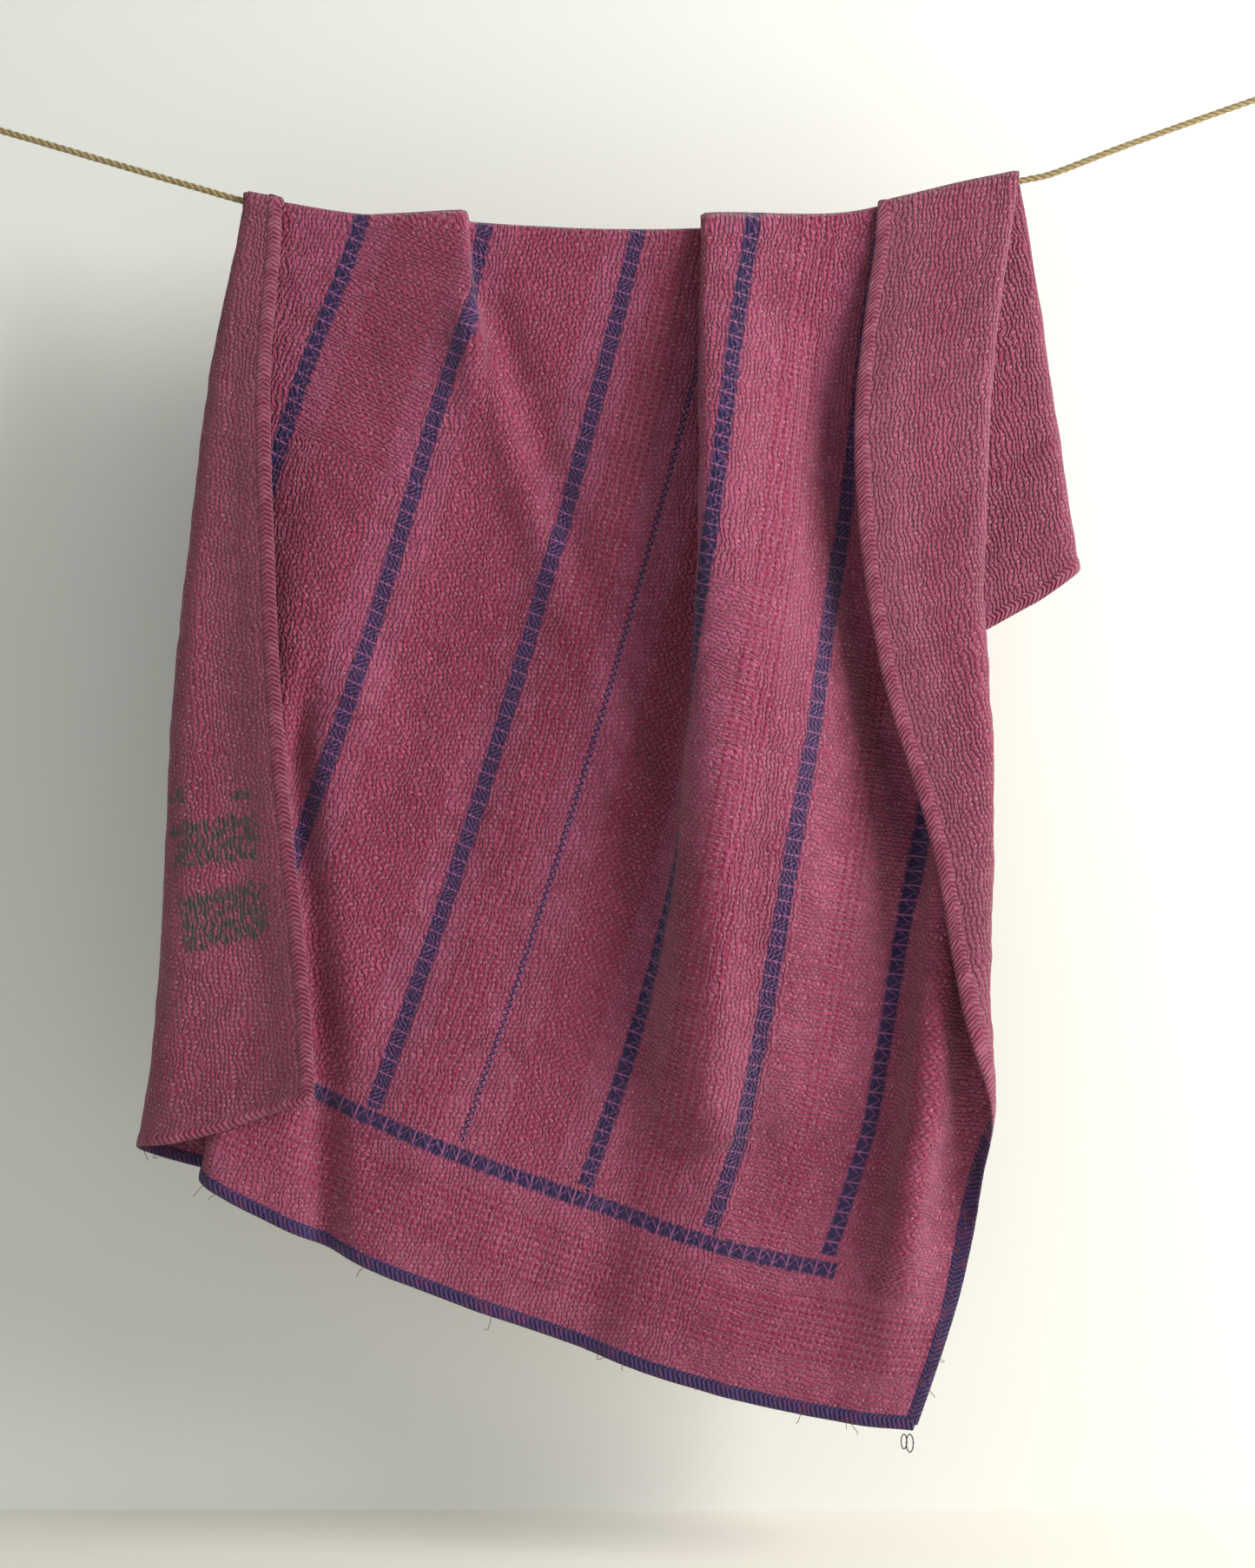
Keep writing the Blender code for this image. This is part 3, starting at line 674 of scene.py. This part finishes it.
def stitchingAt(across, along):
    # offset from the stitching's middle line, the run along it, its kind and the ribs' direction
    length, border, reach = q["length"], stitchSettings["border"], stitchSettings["bandReach"]
    first, last = stitchSettings["bands"][0][0], stitchSettings["bands"][-1][0]
    ribs = float(any(a < across < b and c < along < d for a, b, c, d in stitchSettings["crossRibs"]))
    for cross in (border, length - border):
        if abs(along - cross) < reach and first - reach < across < last + reach:
            return "along", cross, 1.0, ribs
    if border - reach < along < length - border + reach:
        for place, kind in stitchSettings["bands"]:
            if abs(across - place) < reach:
                return "across", place, float(kind), ribs
        for place, kind, half in stitchSettings["quiet"]:
            if abs(across - place) < half:
                return "across", place, float(kind), ribs
    if 0.05 < along < 0.13:
        return "along", 0.09, 4.0, ribs
    return "across", 0.0, 0.0, ribs


def layStitching(shape):
    # writes each face's stitching into two more UV maps: where it runs, and its kind
    cloth = shape.loops.layers.uv["UVMap"]
    place, kind = shape.loops.layers.uv.new("stitchPlace"), shape.loops.layers.uv.new("stitchKind")
    for face in shape.faces:
        middle = sum((loop[cloth].uv for loop in face.loops), Vector((0, 0))) / len(face.loops)
        direction, origin, number, ribs = stitchingAt(middle.x, middle.y)
        for loop in face.loops:
            across, along = loop[cloth].uv
            offset, run = (across - origin, along) if direction == "across" else (along - origin, across)
            loop[place].uv = (offset, run)
            loop[kind].uv = (number, ribs)


def puckers(across, along):
    # how far stitching pulls the cloth in and the spaces between it stand up
    lift = 0.0011 * softNoise(across / 0.034, along / 0.052, 21)
    lift += 0.0007 * softNoise(across / 0.017, along / 0.021, 22)
    lift += 0.0004 * softNoise(across / 0.009, along / 0.014, 23)
    for place, _ in stitchSettings["bands"]:
        near = np.abs(across - place)
        lift -= 0.0009 * np.exp(-(near / 0.008) ** 2) * (along > stitchSettings["border"] - 0.01)
    return lift


ridgeSettings = [
    # start x and z, end x and z, rise, width: soft folds pressed in where the cloth was folded away
    (0.745, -0.240, 0.862, -0.585, 0.015, 0.027),
    (0.862, -0.585, 0.985, -0.860, 0.006, 0.028),
    (0.560, -0.420, 0.640, -0.760, 0.006, 0.028),
    (1.150, -0.300, 1.130, -0.620, 0.006, 0.026),
    (1.060, -0.760, 1.052, -1.300, 0.012, 0.034),
    (0.800, -0.520, 0.700, -0.980, 0.005, 0.036),
    (0.930, -1.120, 0.880, -1.420, 0.006, 0.036),
]


def pressedFolds(points):
    # a fold is high just left of its line and low just right of it
    x, z = points[..., 0], points[..., 2]
    lift = 0.0 * x
    for startX, startZ, endX, endZ, rise, width in ridgeSettings:
        runX, runZ = endX - startX, endZ - startZ
        length = math.hypot(runX, runZ)
        along = ((x - startX) * runX + (z - startZ) * runZ) / length ** 2
        side = ((x - startX) * runZ - (z - startZ) * runX) / length
        fade = smooth((along + 0.15) / 0.3) * smooth((1.2 - along) / 0.4)
        lift += rise * fade * np.exp(-((side - 0.35 * width) / width) ** 2)
        lift -= 0.8 * rise * fade * np.exp(-((side + 0.75 * width) / width) ** 2)
    return lift


flapSettings = {"edgeRise": 0.013, "edgeReach": 0.07, "valleyDepth": 0.025, "valleyWidth": 0.023,
                "valleyShift": 0.015}


def besideFlaps(points, across, hang):
    # the free edges of the flaps stand forward and the cloth just beside them lies back
    f = flapSettings
    far = smooth((np.abs(hang) - 0.04) / 0.35)
    levels = np.linspace(0.0, 1.35, 160)
    lift = -f["edgeRise"] * far * (smooth(1 - across / f["edgeReach"])
                                   + 0.7 * smooth(1 - (q["width"] - across) / f["edgeReach"]))
    panel = smooth((across - 0.27) / 0.04) * smooth((1.13 - across) / 0.04)
    for edge, inward, share in ((0.0, 1, 1.0), (q["width"], -1, 0.7)):
        line = drape(np.full(len(levels), edge), levels)
        order = np.argsort(line[:, 2])
        edgeX = np.interp(points[..., 2], line[order, 2], line[order, 0])
        away = (points[..., 0] - edgeX) * inward - f["valleyShift"]
        lift -= share * f["valleyDepth"] * far * panel * np.exp(-(away / f["valleyWidth"]) ** 2)
    return lift


def slackWrinkles(across, along, hang):
    # long soft wrinkles that fan out below the rope, in addition to the folds of the drape
    far = np.abs(hang)
    slanted = across + 0.10 * along + 0.012 * np.sin(along / 0.11)
    wide = 0.0040 * softNoise(slanted / 0.060, along / 0.42 + 3.0, 31) * smooth((far - 0.12) / 0.5)
    short = 0.0022 * softNoise(across / 0.045 + along / 0.2, along / 0.09, 32) * smooth((far - 0.2) / 0.4)
    # none where the lower left corner is folded over, so that its layers stay apart
    return (wide + short) * smooth((across - 0.36) / 0.12)


def clothLift(across, along, points, front):
    # all that stands off the drape; on the rope the puckers are pressed nearly flat
    hang = hangAt(across, along)
    room = smooth((np.abs(hang) - 0.02) / 0.25) * 0.85 + 0.15
    lift = puckers(across, along) * room + slackWrinkles(across, along, hang)
    return lift + besideFlaps(points, across, hang) if front else lift


def makeSheet(name, front, *materials):
    # one side of the quilt, from its hem to the rope's crest
    rows = q["frontRows"] if front else q["backRows"]
    inset = q["edgeInset"]
    u, v = np.meshgrid(np.linspace(inset, q["width"] - inset, q["columns"] + 1), np.linspace(0, 1, rows + 1))
    crest = crestAlong(u)
    end = 0.0 if front else q["length"]
    along = end + (crest - end) * v + (inset if front else -inset) * (1 - v)
    if not front:
        u, along = u[::-1], along[::-1]
    points = drape(u, along)
    normal = unitNormal(np.gradient(points, axis=1), np.gradient(points, axis=0))
    lift = clothLift(u, along, points, front)
    if front:
        panel = smooth((u - 0.30) / 0.06) * smooth((1.14 - u) / 0.06)
        lift = lift + pressedFolds(points) * panel
    points = points + normal * lift[..., None]
    shape = bmesh.new()
    addGrid(shape, points, np.stack([u, along], axis=-1))
    layStitching(shape)
    sheet = makePiece(name, shape, *materials)
    shell = sheet.modifiers.new("Thickness", "SOLIDIFY")
    shell.thickness = q["thickness"]
    shell.offset = 0.0
    shell.material_offset = 1
    shell.material_offset_rim = 1
    return sheet


# Cotton: the face, the reverse and the binding share the stitches that hold the layers.

def zigzag(add, run, period):
    # goes from -1 to 1 and back once in each period
    folded = add("Math", [run, period / 2], operation="PINGPONG")
    return add("MapRange", [folded, 0.0, period / 2, -1.0, 1.0])


def threadLine(add, offset, width):
    # 1 on a thread of that width, falling to 0 at its sides
    away = add("Math", [offset], operation="ABSOLUTE")
    return add("MapRange", [away, width * 0.62, width * 0.38, 0.0, 1.0])


def rungs(add, run, spacing, outer, inner, strength=1.0):
    # thin lines two spacings apart, which fade out from inner to outer
    away = add("Math", [run, spacing], operation="PINGPONG")
    return add("MapRange", [away, outer, inner, 0.0, strength])


def either(add, *masks):
    joined = masks[0]
    for mask in masks[1:]:
        joined = add("Math", [joined, mask], operation="MAXIMUM")
    return joined


def both(add, *masks):
    joined = masks[0]
    for mask in masks[1:]:
        joined = add("Math", [joined, mask], operation="MULTIPLY")
    return joined


def runningStitches(add, cloth, ribs):
    # rows of running stitch about 4 mm apart, drawn 5.5 mm apart so that they show
    pitch, stitch = 0.0055, 0.0060
    across, along = mapSides(add, "UVMap")
    drift = add("TexNoise", {"Vector": cloth, "Scale": 30.0, "Detail": 4.0, "Roughness": 0.62})
    drift = add("MapRange", [drift, 0.25, 0.75, -0.0065, 0.0065])
    level = add("Mix", {0: ribs, 2: across, 3: along}, data_type="FLOAT")
    run = add("Mix", {0: ribs, 2: along, 3: across}, data_type="FLOAT")
    level = add("Math", [level, drift], operation="ADD")
    ridge = add("Math", [level, pitch / 2], operation="PINGPONG")
    ridge = add("MapRange", [ridge, 0.0, pitch / 2, 0.0, 1.0], interpolation_type="SMOOTHSTEP")
    row = add("Math", [level, 1 / pitch], operation="MULTIPLY")
    row = add("Math", [row], operation="ROUND")
    shift = add("Math", [row, 0.61 * stitch], operation="MULTIPLY")
    dash = add("Math", [run, shift], operation="ADD")
    dash = add("Math", [dash, stitch / 2], operation="PINGPONG")
    dash = add("MapRange", [dash, 0.0010, 0.0016, 0.0, 1.0])
    crinkle = add("TexNoise", {"Vector": cloth, "Scale": 150.0, "Detail": 3.0, "Roughness": 0.6})
    crinkle = add("MapRange", [crinkle, 0.3, 0.7, -0.55, 0.55])
    ridge = add("Math", [ridge, crinkle], operation="ADD")
    seam = add("MapRange", [ridge, 0.30, 0.12, 0.0, 1.0])
    return ridge, both(add, seam, dash)


def bandStitching(add, offset, run, kind):
    # masks of the purple ground, the pink threads on it and the tone-on-tone stitching
    half = 0.0092
    ragged = add("TexNoise", {"Vector": add("CombineXYZ", [offset, run]),
                              "Scale": 110.0, "Detail": 1.0})
    ragged = add("MapRange", [ragged, 0.3, 0.7, -0.0016, 0.0016])
    loose = add("Math", [offset, ragged], operation="ADD")
    ground = threadLine(add, loose, half * 2)

    # ladder: cross rungs every 18 mm with one zigzag line running through them
    rung = rungs(add, run, 0.009, 0.0013, 0.0008)
    swing = add("Math", [zigzag(add, run, 0.018), 0.0060], operation="MULTIPLY")
    swing = add("Math", [loose, swing], operation="SUBTRACT")
    line = add("Math", [threadLine(add, swing, 0.0024), 0.6], operation="MULTIPLY")
    ladder = either(add, rung, line)

    # slanted blocks: two thin lines in each, leaning one way and then the other
    block = 0.0185
    turn = add("Math", [run, 1 / block], operation="MULTIPLY")
    turn = add("Math", [turn], operation="FLOOR")
    turn = add("Math", [turn, 2.0], operation="FLOORED_MODULO")
    turn = add("MapRange", {0: turn, 3: -0.95, 4: 0.95})
    lean = add("Math", [loose, turn, run], operation="MULTIPLY_ADD")
    slanted = rungs(add, lean, block / 6, 0.0009, 0.0005, 0.75)
    slanted = both(add, slanted, threadLine(add, loose, 0.0136))
    border = rungs(add, run, block / 2, 0.0012, 0.0007)
    slanted = either(add, slanted, border)

    # rickrack: two small zigzags side by side
    small = zigzag(add, run, 0.0086)
    dark = add("Math", [small, -0.0030, offset], operation="MULTIPLY_ADD")
    pale = add("Math", [dark, 0.0026], operation="SUBTRACT")
    rickrack = threadLine(add, dark, 0.0036)
    rickrackPale = threadLine(add, pale, 0.0016)

    one, two, three, four, five = [add("Math", [kind, float(number), 0.4], operation="COMPARE")
                                   for number in range(1, 6)]
    purple = either(add, both(add, either(add, one, two), ground), both(add, three, rickrack))
    pink = either(add, both(add, one, ground, ladder), both(add, two, ground, slanted),
                  both(add, three, rickrackPale))

    # diamonds in columns 10 mm apart, and contour zigzags 9 mm apart
    cellU = add("Math", [offset, 0.0050], operation="PINGPONG")
    cellV = add("Math", [run, 0.0040], operation="PINGPONG")
    diamond = add("Math", [cellU, cellV], operation="ADD")
    diamond = add("MapRange", [diamond, 0.0038, 0.0026, 0.0, 1.0])
    contour = add("Math", [zigzag(add, run, 0.016), 0.0045, offset], operation="MULTIPLY_ADD")
    contour = rungs(add, contour, 0.0045, 0.0021, 0.0010)
    quiet = either(add, both(add, four, diamond), both(add, five, contour))
    return purple, pink, quiet


def clothFading(add, cloth, low, high):
    # washed cotton fades in patches: broad, then hand-sized, then slubs of thread
    broad = add("TexNoise", {"Vector": cloth, "Scale": 4.5, "Detail": 3.0, "Roughness": 0.6})
    near = add("TexNoise", {"Vector": cloth, "Scale": 38.0, "Detail": 4.0, "Roughness": 0.7})
    mixed = add("Math", [broad, 0.55], operation="MULTIPLY")
    mixed = add("Math", [near, 0.45, mixed], operation="MULTIPLY_ADD")
    tones = add("ValToRGB", [mixed])
    ramp = tones.node.color_ramp
    ramp.elements[0].position, ramp.elements[0].color = 0.38, linearColour(low)
    ramp.elements[1].position, ramp.elements[1].color = 0.63, linearColour(high)
    slub = add("Mapping", {0: cloth, 3: (420.0, 60.0, 1.0)})
    slub = add("TexNoise", {"Vector": slub, "Scale": 1.0, "Detail": 2.0})
    return tones, slub


def stitchedCotton(name, low, high, seamShadeStrength, turned, **values):
    # what the face and the reverse share: rows of stitches, bands, faded tones and painted shade that
    # darkens the seams between the ridges
    material, add, shader = newMaterial(name, **values)
    cloth = add("UVMap", uv_map="UVMap")
    kind, ribs = mapSides(add, "stitchKind")
    ridge, stitches = runningStitches(add, cloth, ribs if turned else 0.0)
    bands = bandStitching(add, *mapSides(add, "stitchPlace"), kind)
    tones, slub = clothFading(add, cloth, low, high)
    # painted shade: the seams between the quilted ridges are coloured darker, as if shade lay in them
    seamShade = add("MapRange", [ridge, 0.2, 1.0, seamShadeStrength, 0.0])
    return material, add, shader, cloth, ridge, stitches, bands, tones, slub, seamShade


def faceCotton():
    # washed madder cotton, hand-stitched: matt, with painted shade darkening the seams so that the ridges
    # look lighter
    material, add, shader, _, ridge, stitches, bands, tones, slub, seamShade = stitchedCotton(
        "madderCotton", "#86284E", "#AE5277", 0.62, True, Roughness=0.9, Sheen_Weight=0.18,
        Sheen_Roughness=0.45)
    purple, pink, quiet = bands
    paleThread = add("MapRange", [slub, 0.55, 0.8, 0.0, 0.38])
    violet = layColours(add, "#180830", (slub, 1, "#371A60"))
    # the first layer, #781839 in the seams, is painted shade in the hollows between the ridges
    colour = layColours(add, tones, (seamShade, 1, "#781839"), (paleThread, 1, "#C98AA0"),
                        (stitches, 0.55, "#C9809C"), (quiet, 0.80, "#8E0A38"), (purple, 1, violet),
                        (pink, 0.80, "#A45A8E"))
    bump = layRelief(add, 0.0019, ridge, (stitches, -0.45), (either(add, pink, quiet), 0.5), (slub, 0.35))
    connect(shader, Base_Color=colour, Normal=bump)
    return material


patchSettings = [
    # across, along, half width, half height: darned places on the reverse near the lower left
    (0.082, 0.334, 0.050, 0.026),
    (0.080, 0.247, 0.050, 0.032),
    (0.124, 0.392, 0.014, 0.007),
    (0.049, 0.384, 0.014, 0.007),
]


def reverseCotton():
    # the reverse: an older, duller rose cotton with a darned patch or two
    material, add, shader, cloth, ridge, stitches, bands, tones, slub, seamShade = stitchedCotton(
        "oldRoseCotton", "#7E2C4A", "#A24E6C", 0.6, False, Roughness=0.92, Sheen_Weight=0.15,
        Sheen_Roughness=0.5)
    ground, lines, quiet = bands
    # the first layer, #70263F in the seams, is painted shade in the hollows between the ridges
    colour = layColours(add, tones, (seamShade, 1, "#70263F"), (stitches, 0.6, "#C98497"),
                        (ground, 0.35, "#7A2C52"), (either(add, lines, quiet), 0.4, "#A02452"))
    across, along = mapSides(add, "UVMap")
    edgeNoise = add("TexNoise", {"Vector": cloth, "Scale": 70.0, "Detail": 3.0})
    edgeNoise = add("MapRange", [edgeNoise, 0.3, 0.7, -0.006, 0.006])
    broken = add("Mapping", {0: cloth, 3: (190.0, 95.0, 1.0)})
    broken = add("TexNoise", {"Vector": broken, "Scale": 1.0, "Detail": 2.0})
    broken = add("MapRange", [broken, 0.42, 0.54, 0.12, 1.0])
    for placeU, placeV, halfU, halfV in patchSettings:
        beyond = []
        for side, place, half in ((across, placeU, halfU), (along, placeV, halfV)):
            away = add("Math", [side, place], operation="SUBTRACT")
            away = add("Math", [away], operation="ABSOLUTE")
            beyond.append(add("Math", [away, half], operation="SUBTRACT"))
        outside = add("Math", [either(add, *beyond), edgeNoise], operation="ADD")
        darn = add("MapRange", [outside, 0.002, -0.002, 0.0, 0.9])
        colour = layColours(add, colour, (both(add, darn, broken), 1, "#3A423D"))
    # a herringbone band beside each side edge
    far = add("Math", [q["width"], across], operation="SUBTRACT")
    inward = add("Math", [across, far], operation="MINIMUM")
    band = threadLine(add, add("Math", [inward, 0.022], operation="SUBTRACT"), 0.030)
    chain = add("Math", [zigzag(add, along, 0.012), 0.0042, inward], operation="MULTIPLY_ADD")
    chain = rungs(add, chain, 0.0048, 0.0017, 0.0009)
    chain = both(add, band, chain)
    colour = layColours(add, colour, (chain, 0.45, "#B4587A"), (band, 0.22, "#6A1A3A"))
    bump = layRelief(add, 0.0019, ridge, (stitches, -0.5), (chain, 0.8), (slub, 0.3))
    connect(shader, Base_Color=colour, Normal=bump)
    return material


bindingSettings = {"outside": 0.0072, "inside": 0.0105, "rise": 0.0021, "profile": 12, "spacing": 0.006,
                   "girth": 2.2}        # its way round, as a share of its width


def bindingCotton(name, violetReach, faceOnly=False):
    # overcast thread, thick and slightly glossy: violet up to a place along the edge, rose past it
    material, add, shader = newMaterial(name, Roughness=0.78, Sheen_Weight=0.2, Sheen_Roughness=0.4)
    uv = add("UVMap", uv_map="UVMap")
    over, run = mapSides(add, "UVMap")
    swing = add("Math", [zigzag(add, over, 0.015), 0.0034, run], operation="MULTIPLY_ADD")
    # the turns lie about 2 mm apart, drawn 6 mm apart so that they show
    uneven = add("TexNoise", {"Vector": uv, "Scale": 160.0})
    swing = add("Math", [uneven, 0.004, swing], operation="MULTIPLY_ADD")
    thread = add("Math", [swing, 0.0030], operation="PINGPONG")
    thread = add("MapRange", [thread, 0.0, 0.0030, 0.0, 1.0], interpolation_type="SMOOTHSTEP")
    patchy = add("TexNoise", {"Vector": uv, "Scale": 60.0, "Detail": 3.0})
    bleached = add("MapRange", [patchy, 0.5, 0.75, 0.0, 0.6])
    colour = layColours(add, "#1B0B2E", (thread, 1, "#4A2A70"), (bleached, 1, "#7A2C58"))
    bleached = add("MapRange", [patchy, 0.45, 0.7, 0.0, 0.7])
    rose = layColours(add, "#6E1F3D", (thread, 1, "#9E4462"), (bleached, 1, "#AC5F7A"))
    past = add("Math", [patchy, 0.08, run], operation="MULTIPLY_ADD")
    past = add("MapRange", [past, violetReach, violetReach + 0.03, 0.0, 1.0])
    if faceOnly:
        # the violet thread lies on the face; only its rose ground shows on the reverse
        around = bindingSettings["girth"] * (bindingSettings["inside"] + bindingSettings["outside"])
        behind = add("MapRange", [over, around * 0.49, around * 0.52, 0.0, 1.0])
        past = either(add, past, behind)
    connect(shader, Base_Color=layColours(add, colour, (past, 1, rose)),
            Normal=layRelief(add, 0.0022, thread))
    return material


def makeBinding(name, edge, front, cotton):
    # a strip wrapped round one edge: its section is a closed flattened loop
    b = bindingSettings
    if edge == "hem":
        marks = np.linspace(-0.004, q["width"] + 0.004, int(q["width"] / b["spacing"]))
    else:
        side = 0.0 if edge == "left" else q["width"]
        crest = float(crestAlong(np.array(side)))
        stop = 0.0 if front else q["length"]
        marks = np.linspace(crest, stop, int(abs(crest - stop) / b["spacing"]))
    turns = np.linspace(0, 2 * math.pi, b["profile"] + 1)
    middle, half = (b["inside"] - b["outside"]) / 2, (b["inside"] + b["outside"]) / 2
    inward = middle + half * np.sign(np.cos(turns)) * np.abs(np.cos(turns)) ** 0.8
    rise = b["rise"] * np.sign(np.sin(turns)) * np.abs(np.sin(turns)) ** 0.6
    into, mark = np.meshgrid(inward, marks)
    uneven = 1 + 0.12 * softNoise(mark / 0.011, mark * 0 + 0.5, 41)
    if edge == "hem":
        across, along = mark, into if front else q["length"] - into
    else:
        across, along = (into if edge == "left" else q["width"] - into), mark
    points = drape(across, along)
    nudge = 0.0008
    normal = unitNormal(drape(across + nudge, along) - drape(across - nudge, along),
                        drape(across, along + nudge) - drape(across, along - nudge))
    lift = clothLift(across, along, points, front)
    points = points + normal * (lift + rise[None, :] * uneven)[..., None]
    points[:, -1] = points[:, 0]
    girth = b["girth"] * (b["inside"] + b["outside"])
    around = np.broadcast_to(turns / (2 * math.pi) * girth, mark.shape)
    shape = bmesh.new()
    made = addGrid(shape, points, np.stack([around, mark], axis=-1))
    bmesh.ops.remove_doubles(shape, verts=made, dist=1e-7)
    bmesh.ops.holes_fill(shape, edges=[rim for rim in shape.edges if rim.is_boundary], sides=0)
    return makeClosedPiece(name, shape, cotton)


threadSettings = {"flapEdge": 60, "hem": 26, "rightEdge": 40, "width": 0.00045, "shortest": 0.006,
                  "longest": 0.024}


def makeThreads(name, cotton, seed):
    # loose ends of stitching thread that hang from the edges of the front
    random = np.random.default_rng(seed)
    shape = bmesh.new()
    roots = [(0.004, random.uniform(0.02, 0.95)) for _ in range(threadSettings["flapEdge"])]
    roots += [(random.uniform(0.02, 1.24), 0.0) for _ in range(threadSettings["hem"])]
    roots += [(q["width"] - 0.003, random.uniform(0.02, 0.9)) for _ in range(threadSettings["rightEdge"])]
    for across, along in roots:
        root = drape(np.array(across), np.array(along))
        length = random.uniform(threadSettings["shortest"], threadSettings["longest"])
        push = random.normal(size=2) * 0.35
        v = np.linspace(0, 1, 6)[:, None]
        curl = random.normal(size=3) * 0.003
        line = (root + length * v * (push[0], -0.12 - 0.3 * abs(push[1]), -0.75)
                + curl * np.sin(v * math.pi * random.uniform(0.8, 2.2)))
        addTube(shape, line, threadSettings["width"], sides=4)
    return makeClosedPiece(name, shape, cotton)


def makeCornerLoops(cotton):
    # two small loops of thread left at the lower right corner
    corner = drape(np.array(q["width"]), np.array(-0.009))
    shape = bmesh.new()
    turn = np.linspace(0, 2 * math.pi, 25)[:, None]
    for shift, reach, drop in ((0.0, 0.0042, 0.0105), (-0.007, 0.0034, 0.0085)):
        ring = corner + np.array([shift, 0.0, 0.0]) + np.concatenate(
            [reach * np.sin(turn), 0.001 * np.cos(turn), -0.001 - drop + drop * np.cos(turn)], axis=1)
        addTube(shape, ring, 0.0008, sides=6, closed=True)
    return makeClosedPiece("cornerLoops", shape, cotton)


def hangAcross(piece):
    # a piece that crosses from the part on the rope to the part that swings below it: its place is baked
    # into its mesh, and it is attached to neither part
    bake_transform(piece)


face, reverse = faceCotton(), reverseCotton()
violet = bindingCotton("violetThread", 9.0, faceOnly=True)
edgeCotton = {"left": bindingCotton("roseThread", -1.0), "right": bindingCotton("roseAndVioletThread", 0.40),
              "hem": violet}
for side, front in (("front", True), ("back", False)):
    sheet = makeSheet(side + "Quilt", front, face, reverse)
    hangAcross(sheet)
    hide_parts(*[side + "_" + layer + "_cloth" for layer in ("face", "inner", "reverse")])
    if front:
        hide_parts(*["saddle_" + layer + "_cloth" for layer in ("face", "inner", "reverse")])
    for edge in ("left", "right", "hem"):
        binding = makeBinding(side + edge.capitalize() + "Binding", edge, front,
                              edgeCotton[edge if front else "left"])
        if edge == "hem":
            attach(binding, side + "_drop")
        else:
            hangAcross(binding)
            if front:
                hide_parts("saddle_" + edge + "_binding")
        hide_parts(side + "_" + edge + "_binding")
    if front:
        threads = makeThreads("looseThreads", edgeCotton["left"], 71)
        loops = makeCornerLoops(violet)
        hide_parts("corner_loop")
        for trim in (threads, loops):
            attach(trim, "front_drop")


# The wall eyes keep their CAD shapes and get a finished surface.

def galvanisedSteel():
    # hot-dip galvanised steel: grey, with soft crystal spangles and a little white bloom
    material, add, shader = newMaterial("galvanisedSteel", Metallic=0.92)
    where = add("TexCoord", output="Object")
    # spangles of about 6 mm
    cells = add("TexVoronoi", {"Vector": where, "Scale": 170.0}, output="Color")
    tone = add("SeparateColor", [cells], output="Red")
    bloom = add("TexNoise", {"Vector": where, "Scale": 60.0, "Detail": 5.0})
    bloom = add("MapRange", [bloom, 0.5, 0.75, 0.0, 0.5])
    colour = layColours(add, "#7E8486", (tone, 1, "#AEB2B1"), (bloom, 1, "#C9C9C2"))
    rough = add("MapRange", {0: tone, 3: 0.36, 4: 0.58})
    rough = add("Math", [bloom, 0.35, rough], operation="MULTIPLY_ADD")
    bump = add("Bump", {"Strength": 0.15, "Distance": 0.0004, "Height": bloom})
    connect(shader, Base_Color=colour, Roughness=rough, Normal=bump)
    return material


steel = galvanisedSteel()
for side in ("left", "right"):
    for part in ("plate", "bow", "screw_upper", "screw_lower"):
        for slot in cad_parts[side + "_" + part].material_slots:
            slot.material = steel
print("wall eyes finished")
